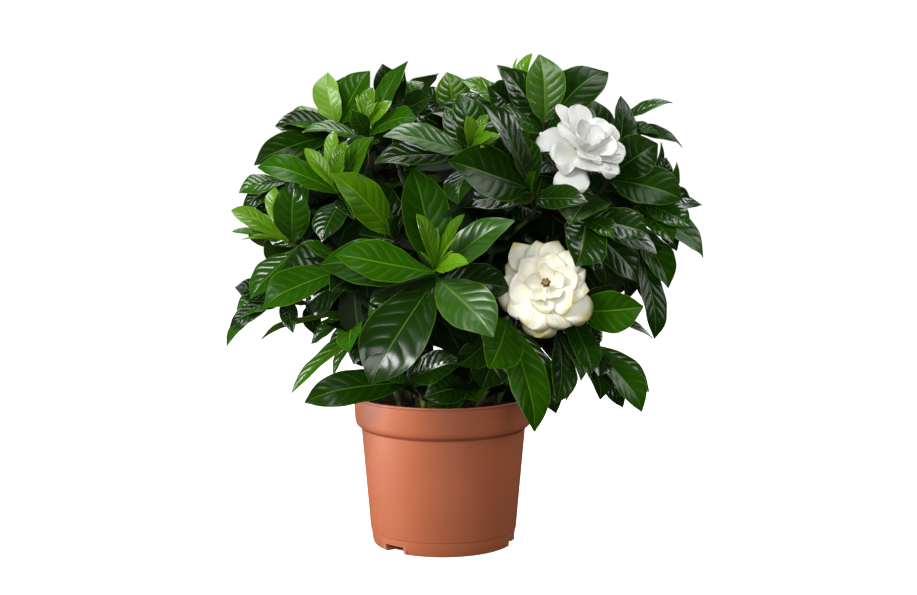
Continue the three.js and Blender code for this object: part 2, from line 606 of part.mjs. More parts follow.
function makeHeart(bloom) {
  const frame = bloomFrame(bloom);
  const club = lathe([[0, 3.3], [1.6, 3.3], [1.3, 9], [2.3, 12], [1.2, 14.5], [0, 15]], 8);
  let solid = solidFrom(turnedTo(club, frame.facing, frame.centre));
  for (let angle = 0; angle < 360; angle += 60) {
    const [root, tip] = [frame.at(angle, 0, 8), frame.at(angle, 4.5, 13)];
    const up = across(frame.facing, tip.clone().sub(root).normalize());
    const blade = { root, tip, up, width: 1.6, thick: 1, arch: 0.1, sag: 0, fold: 0, wave: 0, phase: 0 };
    solid = solid.add(bladeSolid(blade, [[0.6, 1, 1]]));
  }
  return solid;
}

function calyxSolids(bloom) {
  const frame = bloomFrame(bloom);
  const [low, high] = [-HUB_LENGTH - CALYX_LENGTH, -HUB_LENGTH - SEAT_GAP];
  const cup = lathe([[0, low], [SHOOT_RADIUS + 0.2, low], [3.6, low + 5], [3.6, high], [0, high]], 8);
  const solids = [solidFrom(turnedTo(cup, frame.facing, frame.centre))];
  for (let i = 0; i < SEPALS; i += 1) {
    const [root, tip] = [frame.at(60 * i + 20, 1, high - 3), frame.at(60 * i + 20, 15, high + 2)];
    const up = across(frame.facing, tip.clone().sub(root).normalize());
    const blade = { root, tip, up, width: 4, thick: 1.2, arch: -0.1, sag: 0, fold: 0.1, wave: 0, phase: 0 };
    solids.push(...placedBlade(bloom.stem, blade, YOUNG_OUTLINE));
  }
  return solids;
}

// Leaves

function leafBlade(base, tip, up, width, thick, draws) {
  const ahead = tip.clone().sub(base).normalize();
  return {
    root: base.clone().addScaledVector(ahead, -ROOT_SINK), tip, up: across(up, ahead), width, thick,
    arch: draws.between(0.06, 0.14), sag: -draws.between(0, 0.05), fold: draws.between(0.1, 0.26),
    wave: draws.between(0.05, 0.1), phase: draws.between(0, 2 * Math.PI),
  };
}

function shownBlades(shoot, draws) {
  return shoot.shown.map(([x, y, z, width, shown, arch], k) => {
    const base = shootSpot(shoot, 3 + 5 * Math.floor(k / 2));
    const tip = new THREE.Vector3(x, y, z);
    const face = shownFace(tip.clone().sub(base).normalize(), shoot.axis, shown);
    const blade = leafBlade(base, tip, face, width, LEAF_MIDRIB, draws);
    return arch === undefined ? blade : { ...blade, arch };
  });
}

// A tip that would stand out of the crown's rounded outline is drawn back to it.
function insideCrown(tip) {
  const off = tip.clone().sub(CROWN_CENTRE);
  const height = off.z > 0 ? CROWN_RISE : CROWN_DROP;
  const out = Math.hypot(off.x / CROWN_SPREAD, off.y / CROWN_DEPTH, off.z / height);
  return out > 1 ? off.divideScalar(out).add(CROWN_CENTRE) : tip;
}

function pairBlades(shoot, draws) {
  const blades = [];
  const side = across(Math.abs(shoot.axis.z) > 0.9 ? FRONT : UP, shoot.axis);
  const other = shoot.axis.clone().cross(side);
  const first = shoot.shown.length > 0 ? 24 : 3;
  const start = draws.between(0, 90);
  for (let pair = 0; pair < shoot.pairs; pair += 1) {
    for (const half of [0, 180]) {
      const angle = THREE.MathUtils.degToRad(start + 90 * pair + half + draws.between(-25, 25));
      const spread = THREE.MathUtils.degToRad(draws.between(46, 62) + 11 * pair);
      const length = draws.between(62, 88);
      const out = blend(side, Math.cos(angle), other, Math.sin(angle));
      const way = blend(shoot.axis, Math.cos(spread), out, Math.sin(spread));
      const base = shootSpot(shoot, first + 15 * pair);
      const tip = base.clone().addScaledVector(way, length).addScaledVector(UP, -0.14 * length);
      blades.push(leafBlade(base, insideCrown(tip), shoot.axis, 0.44 * length, LEAF_MIDRIB, draws));
    }
  }
  return blades;
}

function makeTuft(shoot, draws) {
  const bud = lathe([[0, 0], [1.6, 0], [1.6, 3], [0, 9]], 5);
  const foot = shoot.tip.clone().addScaledVector(shoot.axis, SEAT_GAP);
  const base = shoot.tip.clone().addScaledVector(shoot.axis, 3);
  const name = `tuft_${shoot.name}`;
  let solid = solidFrom(turnedTo(bud, shoot.axis, foot));
  for (const [x, y, z, width] of shoot.young) {
    const tip = new THREE.Vector3(x, y, z);
    const face = shownFace(tip.clone().sub(base).normalize(), shoot.axis, SHOWN_FACE);
    const blade = leafBlade(base, tip, face, width, YOUNG_MIDRIB, draws);
    for (const leaf of placedBlade(name, blade, YOUNG_OUTLINE)) solid = solid.add(leaf);
  }
  return solid;
}

// The whole plant in its pot

function meshOf(name, solid, look) {
  const { vertProperties, triVerts } = solid.getMesh();
  const geometry = new THREE.BufferGeometry();
  geometry.setAttribute("position", new THREE.BufferAttribute(vertProperties, 3));
  geometry.setIndex(new THREE.BufferAttribute(triVerts, 1));
  geometry.computeVertexNormals();
  const [color, roughness] = LOOKS[look];
  const mesh = new THREE.Mesh(geometry, new THREE.MeshStandardMaterial({ color, roughness, metalness: 0 }));
  mesh.name = name;
  return mesh;
}

class Plant {
  constructor() {
    this.group = new THREE.Group();
    this.shoots = SHOOTS.map(readShoot);
    this.leafy = {};
  }

  // A finished node, which what comes after keeps clear of
  show(name, solid, look) {
    this.group.add(meshOf(name, solid, look));
    stand(name, solid);
  }

  grow(node, solid) {
    this.leafy[node].push(solid);
    stand(node, solid);
  }

  addWood() {
    for (const name of Object.keys(STEMS)) {
      this.leafy[name] = [];
      this.grow(name, tube(stemPoints(name), STEM_RADIUS, STEM_SIDES));
    }
    for (const shoot of this.shoots) this.grow(shoot.stem, tube(shoot.points, SHOOT_RADIUS, SHOOT_SIDES));
  }

  addBloom(bloom, seed) {
    this.show(`${bloom.name}_petals`, makePetals(bloom, seed), "petal");
    if (bloom.heart) this.show(`${bloom.name}_heart`, makeHeart(bloom), "heart");
    this.grow(bloom.stem, tube(bloomShoot(bloom), SHOOT_RADIUS, SHOOT_SIDES));
    this.leafy[bloom.stem].push(...calyxSolids(bloom));
  }

  addTufts() {
    this.shoots.forEach((shoot, i) => {
      if (shoot.young.length === 0) return;
      this.show(`tuft_${shoot.name}`, makeTuft(shoot, new Draws(201 + i)), "young");
    });
  }

  addLeaves(blades) {
    this.shoots.forEach((shoot, i) => {
      for (const blade of blades(shoot, new Draws(301 + i))) {
        this.leafy[shoot.stem].push(...placedBlade(shoot.stem, blade, LEAF_OUTLINE));
      }
    });
  }

  addLeafyStems() {
    for (const [name, solids] of Object.entries(this.leafy)) {
      this.group.add(meshOf(`leafy_stem_${name}`, solids.reduce((all, solid) => all.add(solid)), "leaf"));
    }
  }
}

function build() {
  const plant = new Plant();
  plant.show("pot", makePot(), "pot");
  plant.show("soil", makeSoil(), "soil");
  plant.addWood();
  BLOOMS.forEach((bloom, i) => plant.addBloom(bloom, 101 + i));
  plant.addTufts();
  plant.addLeaves(shownBlades);
  plant.addLeaves(pairBlades);
  plant.addLeafyStems();
  return plant.group;
}

export default build();
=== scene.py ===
"""Potted gardenia: the finished looks, built round the packed model. Blender 4.5, metres, +Z up."""

import math
from functools import cache
from itertools import product

import bpy
import numpy as np
from mathutils import Matrix, Vector
from mathutils.kdtree import KDTree
from mathutils.noise import noise


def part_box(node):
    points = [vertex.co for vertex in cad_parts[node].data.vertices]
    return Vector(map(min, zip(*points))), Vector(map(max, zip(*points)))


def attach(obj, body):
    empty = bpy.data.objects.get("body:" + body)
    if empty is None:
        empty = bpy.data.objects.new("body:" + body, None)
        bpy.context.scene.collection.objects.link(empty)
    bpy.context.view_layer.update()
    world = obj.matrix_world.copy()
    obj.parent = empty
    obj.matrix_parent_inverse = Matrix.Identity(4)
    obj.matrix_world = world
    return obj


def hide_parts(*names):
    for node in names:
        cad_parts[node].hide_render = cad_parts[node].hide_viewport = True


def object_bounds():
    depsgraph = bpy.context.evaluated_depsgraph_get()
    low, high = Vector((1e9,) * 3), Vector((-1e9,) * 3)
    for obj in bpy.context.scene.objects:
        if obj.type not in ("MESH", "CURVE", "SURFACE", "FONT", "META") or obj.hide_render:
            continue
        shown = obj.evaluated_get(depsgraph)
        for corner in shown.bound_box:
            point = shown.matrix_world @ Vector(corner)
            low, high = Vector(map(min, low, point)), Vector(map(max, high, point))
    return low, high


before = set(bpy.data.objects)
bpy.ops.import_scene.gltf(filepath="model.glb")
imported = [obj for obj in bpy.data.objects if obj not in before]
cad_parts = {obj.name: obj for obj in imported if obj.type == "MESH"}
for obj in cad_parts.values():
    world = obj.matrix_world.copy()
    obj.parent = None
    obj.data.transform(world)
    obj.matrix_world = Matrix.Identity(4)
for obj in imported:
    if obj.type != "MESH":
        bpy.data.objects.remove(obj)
CAD_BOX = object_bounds()
POT_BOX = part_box("pot")
SOIL_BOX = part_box("soil")

bl_info = {
    "name": "Potted gardenia",
    "version": (1, 0, 0),
    "blender": (4, 5, 0),
    "location": "View3D > Sidebar > Gardenia",
    "description": "Builds a potted gardenia round its packed model, and the studio it stands in",
    "category": "Add Mesh",
}

MM = 0.001
UP = Vector((0, 0, 1))
FRONT = Vector((0, -1, 0.12)).normalized()

# Sizes that the solids of the plant were made with, in millimetres
STEM_RADIUS = 2.3
SHOOT_RADIUS = 2.0
LONGEST_STRAIGHT = 38
STEM_DEPTH = 22
SOIL_TOP = 107
BLOOM_NECK = 14
HUB_LENGTH = 10
CALYX_LENGTH = 9
LEAF_MIDRIB = 1.4
YOUNG_MIDRIB = 1.1
PETAL_MIDRIB = 1.1
ROOT_SINK = 1.5
SHOWN_FACE = 0.75
SHOWN_STEP = 5
PAIR_STEP = 15
PAIRS_BELOW = 24
TIP_ROOM = 3
CROWN_CENTRE = Vector((15, 0, 235))
CROWN_SPREAD = 172
CROWN_DEPTH = 145
CROWN_RISE = 136
CROWN_DROP = 82
SEPALS = 6

# How a leaf was moved in the solids until it was clear: shortened, turned and lifted, rolled
REACHES = [1, 0.85, 0.7, 0.55]
MOVES = [(0, 0), (0.12, 0), (-0.12, 0), (0, 0.12), (0, -0.12), (0.25, 0.1), (-0.25, 0.1),
         (0.2, -0.25), (-0.2, -0.25), (0.4, 0), (-0.4, 0), (0, 0.4)]
ROLLS = [0, 0.35, -0.35]
FOUND_WITHIN = 0.05

# For each layer of petals, the outermost first: where its roots sit, how it arches and folds in the
# solids, and how much it rolls back at the sides, curls at the tip and cups in the finished bloom
LAYER_ROOTS = [-6, -3.4, -1, 1.2]
LAYER_ARCH = [0.12, 0.1, 0.04, -0.14]
LAYER_FOLD = [0.02, 0.06, 0.2, 0.5]
LAYER_SHAPES = [(0.85, 0.22, 0.16), (0.7, 0.16, 0.2), (0.4, 0.1, 0.32), (-0.1, -0.05, 0.6)]
PETAL_RIM = 0.45

# Thickness of a finished leaf along its midrib, and how light wood counts
FINE_MIDRIB = 0.7 * LEAF_MIDRIB
WOOD_TONE = 0.3

# Leaves that only the finished plant has, in the shade inside the crown, with millimetres for lengths
INNER_LEAVES = 8
INNER_SHARE = 0.76
INNER_DROP = 150
SHORTEST_INNER = 25
SHORTEST_FILLER = 30
BLOOM_ROOM = 48
FILLER_TONE = 0.08

# The pot's section, in millimetres: from the foot up its outside, round the rim as measured from the
# rim's radius and the pot's height, and down its inside
POT_OUTSIDE = [(53.0, 0), (54.3, 0.5), (55.1, 2.2), (56.5, 11.3), (56.8, 11.6), (56.98, 12.1), (63.9, 91.5),
               (64.8, 92.6), (66.6, 93.6), (67.6, 94.6), (68.2, 96), (68.8, 99)]
POT_RIM = [(-0.25, -2.2), (-0.9, -1.95), (-0.9, -1.75), (0, -1.4), (0, -0.6), (-0.25, -0.15), (-0.7, 0),
           (-1.3, 0), (-1.65, -0.3), (-1.8, -1)]
POT_INSIDE = [(67, 97.5), (64, 94), (62.7, 92.5), (53, 5.4), (50, 2.4), (2, 2.4)]
POT_WALL = 1.7

# The notches in the pot's foot, the housing round each, and the drain hole in its roof
NOTCH_ANGLES = (-133, -13, 107)
NOTCH_HALF = 10.5
NOTCH_BACK = 45.2
NOTCH_HEIGHT = 6
NOTCH_FRONT, NOTCH_LOW = 64.35, -1
HOUSING_FRONT, HOUSING_LOW = 54.35, 1.2
DRAIN_AT = 49.2
DRAIN_RADIUS = 3
DRAIN_LOW, DRAIN_HIGH = 5, 9.4

# The soil's section below its top, the radius and rings of its top, and where it starts to bank up
SOIL_SIDES = 120
SOIL_FOOT = 49.8
SOIL_BELOW = [(52.7, 5.6), (62.3, 94), (66.3, 98.2), (67.0, 104)]
SOIL_RADIUS = 67
SOIL_RINGS = 34
BANK_FROM = 54
BANK_HEIGHT = 4.5

# Each light's name, place, point that it faces, and size, in metres
LIGHTS = [
    ("key", (-0.85, -1.1, 1.15), (0, 0, 0.2), 0.6),
    ("sky", (0.1, 0.35, 1.5), (0, 0, 0.25), 0.9),
    ("fill", (0.25, -2.2, 0.55), (0, 0, 0.2), 1.5),
    ("side", (-1.2, 0.0, 0.08), (0, 0, 0.04), 1.2),
    ("back", (1.15, 0.45, 0.9), (0, 0, 0.2), 0.8),
]
SIDE_LIGHT_HEIGHT = 0.14
SIDE_LIGHT_SPREAD = 50
CAMERA_PLACE = (0.0118, -1.5468, 0.3939)
CAMERA_PITCH = 82.58
CAMERA_LENS = 79.1

# The finishes of a leafy stem, in the order of their numbers on a mesh
LEAF_SKINS = ("leaf upper side", "leaf back", "stem bark", "shaded leaf", "satin leaf", "pale-sheened leaf")
GLOSSY, BACK, BARK, SHADED, SATIN, PALE_SHEENED = range(6)

# Where each stem leaves the soil, and its fork
STEMS = {
    "front": ((0, -34), (2, -50, 160)),
    "left": ((-34, -12), (-48, -22, 160)),
    "upper_left": ((-19, -19), (-42, -30, 215)),
    "top": ((-8, 2), (-14, -6, 235)),
    "top_right": ((12, -6), (38, -22, 230)),
    "bloom_upper": ((28, 0), (72, -22, 215)),
    "right": ((42, 4), (92, -2, 190)),
    "bloom_lower": ((24, -26), (58, -38, 150)),
    "low": ((-14, -42), (-15, -44, 116)),
    "back_left": ((-28, 24), (-55, 40, 190)),
    "back": ((2, 28), (6, 50, 215)),
    "back_right": ((30, 26), (62, 44, 185)),
}

# Each shoot: stem, name, tip, way it points, pairs of leaves, its shown leaves, its young leaves.
# A shown leaf has its tip, its width, how much it faces the front and, with some, its arch
SHOOTS = [
    ("front", "front", (-5, -100, 225), (-0.05, -0.85, 0.5), 0,
     [(-75, -120, 240, 31, 0.85), (-20, -105, 300, 38, 0.95), (50, -112, 265, 29, 0.8),
      (-90, -98, 232, 38, 0.88), (-52, -138, 150, 46, 0.95), (36, -140, 185, 38, 0.95),
      (50, -85, 208, 34, 0.9), (-55, -90, 192, 32, 0.8)],
     [(-15, -125, 268, 14), (10, -122, 268, 12), (16, -136, 236, 15)]),
    ("front", "front_low", (48, -82, 188), (0.15, -0.8, 0.2), 0,
     [(35, -122, 158, 36, 0.9), (70, -112, 110, 34, 0.85), (80, -94, 125, 26, 0.7), (10, -72, 150, 28, 0.8),
      (-4, -62, 166, 26, 0.8), (24, -64, 132, 30, 0.8, 0.03), (50, -62, 138, 28, 0.8, 0.03)], []),
    ("front", "front_inner", (-35, -72, 248), (-0.2, -0.7, 0.6), 0,
     [(-76, -104, 296, 32, 0.85), (-42, -92, 262, 16, 0.6), (-58, -60, 290, 30, 0.85),
      (-75, -70, 250, 28, 0.8)], []),
    ("left", "left", (-115, -44, 240), (-0.75, -0.35, 0.5), 0,
     [(-115, -74, 290, 28, 0.85), (-104, -46, 290, 26, 0.6), (-144, -62, 202, 28, 0.8, 0.04),
      (-142, -20, 262, 24, 0.6)],
     [(-156, -58, 266, 17), (-153, -64, 254, 12), (-140, -44, 276, 15)]),
    ("left", "left_outer", (-126, -22, 197), (-0.85, -0.3, 0.3), 0,
     [(-158, -30, 186, 25, 0.6), (-166, -40, 164, 25, 0.5), (-152, -8, 205, 26, 0.6)], []),
    ("left", "left_inner", (-72, -64, 224), (-0.55, -0.6, 0.45), 0,
     [(-102, -84, 245, 16, 0.6), (-132, -84, 200, 32, 0.75), (-120, -54, 218, 38, 0.9),
      (-107, -34, 190, 34, 0.9, 0.03), (-90, -90, 213, 24, 0.75)], []),
    ("left", "left_low", (-65, -36, 190), (-0.7, -0.3, 0.1), 0,
     [(-70, -76, 163, 26, 0.75), (-140, -40, 177, 24, -0.5, 0), (-105, -10, 160, 20, 0.5),
      (-98, 6, 165, 16, 0.4), (-116, -58, 132, 15, 0.5, -0.03), (-86, -30, 136, 22, 0.7),
      (-72, -54, 150, 22, 0.7)], []),
    ("upper_left", "left_top", (-118, -18, 286), (-0.6, -0.3, 0.7), 0,
     [(-155, -25, 278, 20, 0.6), (-150, -26, 258, 18, 0.5), (-142, 6, 296, 28, 0.6)], []),
    ("upper_left", "upper_left", (-76, -74, 280), (-0.3, -0.6, 0.7), 0,
     [(-45, -98, 313, 25, 0.7), (-124, -104, 305, 29, 0.65), (-64, -90, 262, 24, 0.75),
      (-88, -92, 248, 26, 0.7), (-56, -70, 312, 26, 0.7)],
     [(-80, -76, 325, 14), (-74, -90, 320, 13), (-96, -86, 314, 12)]),
    ("upper_left", "top_left", (-56, -54, 324), (-0.1, -0.45, 0.9), 0,
     [(-20, -84, 337, 24, 0.55), (-62, -74, 346, 14, 0.8), (-100, -76, 324, 24, 0.5),
      (-64, -84, 310, 24, 0.75), (-27, -36, 376, 24, 0.7, 0.15), (-32, -30, 344, 24, 0.7)],
     [(-52, -66, 356, 13), (-61, -52, 357, 10), (-45, -64, 354, 10)]),
    ("upper_left", "crest_left", (-80, -24, 328), (-0.35, -0.2, 0.9), 0,
     [(-56, -34, 368, 30, 0.85), (-88, -30, 366, 24, 0.85), (-124, -32, 328, 33, 0.8, 0.25),
      (-139, -60, 302, 25, 0.85), (-72, -14, 364, 24, 0.7), (-112, -46, 312, 26, 0.8)], []),
    ("top", "crest", (-38, -10, 340), (-0.05, -0.15, 0.98), 0,
     [(-30, -22, 370, 28, 0.75), (-15, 2, 360, 18, 0.8), (-12, -24, 334, 28, 0.8), (-6, -30, 345, 24, 0.7)],
     []),
    ("top", "crest_middle", (6, 6, 330), (0, -0.1, 1), 0,
     [(4, 0, 366, 30, 0.85), (-14, -8, 356, 24, 0.8), (24, -6, 356, 24, 0.8), (-12, -32, 338, 26, 0.8)], []),
    ("top", "upper_middle", (20, -80, 310), (0, -0.65, 0.76), 0,
     [(-40, -108, 326, 28, 0.7), (-44, -120, 315, 28, 0.7), (14, -84, 352, 28, 0.8),
      (0, -76, 341, 24, 0.75), (0, -110, 272, 26, 0.75)],
     [(19, -97, 336, 12), (31, -90, 337, 9), (41, -100, 326, 11), (35, -112, 324, 12)]),
    ("top_right", "top_right", (76, -34, 330), (0.05, -0.35, 0.93), 0,
     [(73, -46, 380, 32, 0.95), (45, -56, 370, 28, 0.7), (42, -28, 373, 22, 0.7), (42, -72, 338, 24, 0.75),
      (125, -20, 371, 36, 0.85, 0.35)], []),
    ("top_right", "crest_right", (54, -4, 340), (-0.1, -0.1, 0.98), 1,
     [(34, -22, 362, 24, 0.7), (16, -10, 362, 20, 0.6), (-6, -42, 339, 26, 0.7)],
     [(66, -6, 381, 13)]),
    ("top_right", "middle", (64, -74, 284), (-0.1, -0.8, 0.55), 0,
     [(0, -118, 304, 40, 0.95), (29, -100, 341, 30, 0.8), (52, -88, 319, 30, 0.85),
      (65, -112, 297, 10, 0.5), (10, -90, 273, 27, 0.75), (45, -104, 278, 20, 0.6),
      (106, -96, 281, 20, 0.6, 0.04)], []),
    ("bloom_upper", "under_upper_bloom", (128, -30, 292), (0.45, -0.4, 0.8), 1,
     [(137, -10, 349, 30, 0.8), (160, -40, 314, 32, 0.8), (177, -60, 275, 36, 0.8),
      (164, -16, 296, 28, 0.7), (112, 6, 350, 30, 0.8)], []),
    ("bloom_upper", "right_inner", (108, -66, 262), (0.45, -0.75, 0.4), 0,
     [(98, -100, 230, 38, 0.97), (152, -74, 250, 30, 0.8), (161, -60, 235, 28, 0.7),
      (124, -86, 250, 22, 0.7), (148, -60, 213, 34, 0.8), (126, -70, 214, 32, 0.85)], []),
    ("right", "right_top", (134, 12, 328), (0.55, -0.1, 0.8), 1,
     [(174, -2, 346, 13, 0.6, 0.12), (168, 15, 320, 18, 0.6), (189, 26, 311, 16, 0.4),
      (156, 2, 320, 26, 0.75)], []),
    ("right", "right", (160, -8, 270), (0.8, -0.25, 0.5), 0,
     [(180, -14, 297, 20, 0.6), (183, -20, 276, 24, 0.7), (200, 2, 266, 24, 0.6), (187, -30, 252, 26, 0.8),
      (174, -34, 240, 24, 0.8), (204, -4, 227, 30, 0.6), (182, -10, 232, 26, 0.8), (170, 0, 312, 24, 0.6),
      (174, -30, 206, 28, 0.85, 0.05)], []),
    ("right", "right_low", (150, -22, 234), (0.7, -0.35, 0.15), 0,
     [(176, 2, 206, 22, 0.7), (161, -50, 168, 26, 0.7), (168, -18, 199, 22, 0.7), (163, -42, 193, 16, 0.5),
      (182, -10, 216, 26, 0.75), (152, -30, 196, 28, 0.75)], []),
    ("bloom_lower", "under_lower_bloom", (96, -64, 190), (0.3, -0.8, 0.1), 0,
     [(147, -84, 196, 32, 0.95), (158, -60, 171, 14, 0.5), (111, -94, 151, 24, 0.8),
      (132, -56, 208, 30, 0.8)], []),
    ("bloom_lower", "low_right", (86, -56, 176), (0.3, -0.6, -0.1), 0,
     [(104, -106, 154, 20, 0.8), (84, -110, 130, 26, 0.7), (94, -76, 126, 14, 0.6)], []),
    ("bloom_lower", "right_bottom", (112, -44, 162), (0.5, -0.5, -0.1), 0,
     [(152, -64, 117, 27, 0.7), (116, -84, 146, 24, 0.7), (119, -70, 126, 24, 0.75),
      (156, -52, 129, 26, 0.8, 0.02)], []),
    ("low", "low_left", (-27, -32, 136), (-0.3, -0.3, 0.6), 0,
     [(12, -66, 154, 26, 0.8), (-46, -56, 141, 14, 0.7), (-106, -58, 123, 28, 0.9, 0.3),
      (-10, -48, 144, 16, 0.6)], []),
    ("low", "low_front", (22, -36, 132), (0.3, -0.4, 0.6), 0,
     [(-20, -50, 136, 24, 0.6), (-31, -76, 124, 26, 0.7), (27, -58, 126, 14, 0.6),
      (42, -50, 148, 26, 0.75)], []),
    ("back_left", "back_left_high", (-95, 60, 290), (-0.5, 0.5, 0.75), 3, [], []),
    ("back_left", "back_left_middle", (-112, 50, 235), (-0.75, 0.5, 0.4), 3, [], []),
    ("back_left", "back_left_low", (-60, 80, 200), (-0.4, 0.8, 0.3), 2, [], []),
    ("back", "back_crest", (-35, 55, 330), (-0.2, 0.4, 0.9), 3, [], []),
    ("back", "back_high", (25, 90, 295), (0.1, 0.8, 0.6), 3, [], []),
    ("back", "back_middle", (-30, 105, 245), (-0.2, 0.9, 0.35), 3, [], []),
    ("back", "back_low", (25, 88, 200), (0.1, 0.9, 0.2), 2, [], []),
    ("back_right", "back_right_crest", (75, 50, 322), (0.2, 0.4, 0.9), 3, [], []),
    ("back_right", "back_right_high", (128, 58, 280), (0.6, 0.5, 0.6), 3, [], []),
    ("back_right", "back_right_middle", (95, 92, 240), (0.4, 0.85, 0.35), 3, [], []),
    ("back_right", "back_right_low", (88, 66, 198), (0.5, 0.7, 0.2), 2, [], []),
]

# Each bloom, and its petals in layers: angle, reach, rise and width
BLOOMS = [
    {
        "name": "bloom_upper", "stem": "bloom_upper", "heart": False,
        "centre": (104, -58, 309), "facing": (0.22, -0.62, 0.75),
        "layers": [
            [(148, 36, -2, 28), (-122, 36, -9, 26), (-50, 31, 2, 27), (8, 34, 3, 26), (70, 33, 2, 26)],
            [(203, 29, 3, 24), (34, 32, 10, 24), (-15, 30, 6, 24), (-90, 26, 6, 29)],
            [(118, 34, 20, 17), (90, 31, 18, 20), (150, 24, 16, 19), (40, 23, 17, 20), (-25, 22, 13, 22),
             (-100, 19, 11, 20)],
            [(120, 12, 22, 15), (30, 12, 19, 15), (-60, 10, 16, 15), (-150, 12, 20, 15)],
        ],
    },
    {
        "name": "bloom_lower", "stem": "bloom_lower", "heart": True,
        "centre": (76, -88, 212), "facing": (-0.08, -0.93, 0.35),
        "layers": [
            [(126, 43, -2, 25), (78, 38, -2, 23), (27, 32, 0, 24), (-34, 39, -1, 25), (-100, 38, -2, 26),
             (-171, 38, -2, 25), (150, 37, -4, 24)],
            [(103, 37, 1, 22), (51, 35, 2, 22), (-5, 31, 4, 22), (-62, 34, 2, 25), (-107, 34, 8, 24),
             (-144, 34, 2, 23)],
            [(135, 26, 9, 23), (75, 23, 11, 20), (15, 24, 10, 20), (-42, 24, 13, 20), (-100, 20, 10, 18),
             (-165, 27, 7, 24)],
            [(95, 15, 14, 13), (23, 15, 14, 13), (-49, 15, 14, 13), (-121, 16, 14, 13), (167, 15, 14, 13)],
        ],
    },
]

# How light each shown leaf is, from 0 dark to 1 lime, in the order of its shoot's rows. A minus sign
# makes it a satin leaf, and 1 added makes it a pale-sheened one
TONES = {
    "front": [-0.46, -0.26, 1.45, -0.22, 0.12, 1.5, 0.08, 0.3],
    "front_low": [-0.42, -0.4, 0.15, 0.25, 0.1, 0.1, 0.12],
    "front_inner": [-0.64, 0.2, 0.1, 0.15],
    "left": [0.3, 0.25, 0.3, 0.2],
    "left_outer": [0.35, 0.32, 0.1],
    "left_inner": [0.45, -0.33, 0.08, 0.05, 0.05],
    "left_low": [0.45, 0.55, 0.3, 0.3, 0.55, 0.4, 0.2],
    "left_top": [0.4, 0.25, 0.08],
    "upper_left": [0.55, -0.47, 0.12, 0.12, 0.15],
    "top_left": [-0.3, 0.3, 0.4, 0.2, 0.35, 0.2],
    "crest_left": [-0.35, 1.95, 0.45, -0.12, 0.2, 0.08],
    "crest": [0.15, 0.5, 0.1, 0.15],
    "crest_middle": [0.63, 0.2, 0.2, 0.08],
    "upper_middle": [1.35, 0.1, 0.25, 0.2, 0.15],
    "top_right": [1.62, 0.12, 0.15, 0.3, -0.1],
    "crest_right": [0.15, 0.6, 0.1],
    "middle": [-0.12, 0.08, -0.15, 0.5, 0.12, 0.1, 0.15],
    "under_upper_bloom": [-0.1, -0.1, -0.12, 0.1, -0.12],
    "right_inner": [0.2, 0.12, 0.1, 0.3, -0.08, 0.05],
    "right_top": [0.3, -0.15, -0.1, -0.12],
    "right": [0.35, -0.15, 0.1, 0.32, 0.3, -0.3, 0.1, -0.1, -0.25],
    "right_low": [-0.12, -0.1, 0.1, 0.3, -0.1, 0.08],
    "under_lower_bloom": [-0.42, 0.1, -0.12, 0.1],
    "low_right": [-0.15, -0.12, 0.3],
    "right_bottom": [-0.28, 0.1, -0.1, 0.25],
    "low_left": [0.12, 0.3, -0.14, 0.2],
    "low_front": [0.1, 0.15, 0.35, 0.25],
}
YOUNG_TONES = {
    "front": [0.68, 0.66, 0.84],
    "left": [0.8, 0.64, 0.86],
    "upper_left": [0.8, 0.64, 0.86],
    "top_left": [0.68, 0.56, 0.76],
    "upper_middle": [0.8, 0.64, 0.74, 0.68],
    "crest_right": [0.8],
}

# Older leaves that fill the crown between the shown ones, which the solids leave out. Each leaf passes
# over a place x, y, z, from the nearest shoot, by so much, and has a width
FILLERS = [
    (-115, -45, 182, 14, 14), (-43, -30, 365, 8, 22), (-120, -32, 327, 6, 20), (-150, -30, 203, 8, 18),
    (133, -50, 122, 8, 16), (83, -40, 120, 12, 20), (174, -10, 222, 6, 16), (169, 0, 294, 8, 18),
    (-147, -24, 268, 6, 16), (-136, -20, 264, 8, 20), (-158, -36, 178, 5, 14), (186, 0, 270, 6, 18),
    (80, -34, 301, 16, 30), (71, -40, 277, 16, 26), (-12, -12, 338, 12, 24), (108, -10, 282, 14, 30),
    (130, -14, 290, 14, 28), (89, -40, 177, 14, 26), (114, -30, 169, 10, 18), (56, -34, 173, 14, 26),
    (62, -20, 264, 16, 26), (-21, -10, 294, 16, 30), (-17, -25, 154, 12, 16), (-99, -30, 176, 10, 14),
    (100, -24, 356, 6, 24), (78, -28, 288, 14, 24),
]

# Smooth outlines of the blades: way along, share of the full width
LEAF_WIDTHS = [(0, 0.09), (0.06, 0.11), (0.14, 0.28), (0.26, 0.62), (0.4, 0.88), (0.54, 1.0), (0.68, 0.99),
               (0.8, 0.81), (0.9, 0.48), (0.96, 0.2), (1, 0.03)]
YOUNG_WIDTHS = [(0, 0.3), (0.15, 0.38), (0.4, 0.75), (0.6, 1.0), (0.78, 0.95), (0.9, 0.62), (0.97, 0.28),
                (1, 0.05)]
POINTED_WIDTHS = [(0, 0.3), (0.2, 0.45), (0.4, 0.86), (0.55, 1.02), (0.7, 0.98), (0.82, 0.76), (0.92, 0.4),
                  (1, 0.03)]
ROUND_WIDTHS = [(0, 0.25), (0.2, 0.34), (0.42, 0.7), (0.6, 0.93), (0.76, 1.0), (0.88, 0.88), (0.95, 0.62),
                (1, 0.2)]


class Draws:
    """The same steady random numbers as the solids were made with"""

    def __init__(self, seed):
        self.state = 7919 * seed + 17
        self.next()
        self.next()

    def next(self):
        self.state = (16807 * self.state) % 2147483647
        return self.state / 2147483647

    def between(self, low, high):
        return low + (high - low) * self.next()


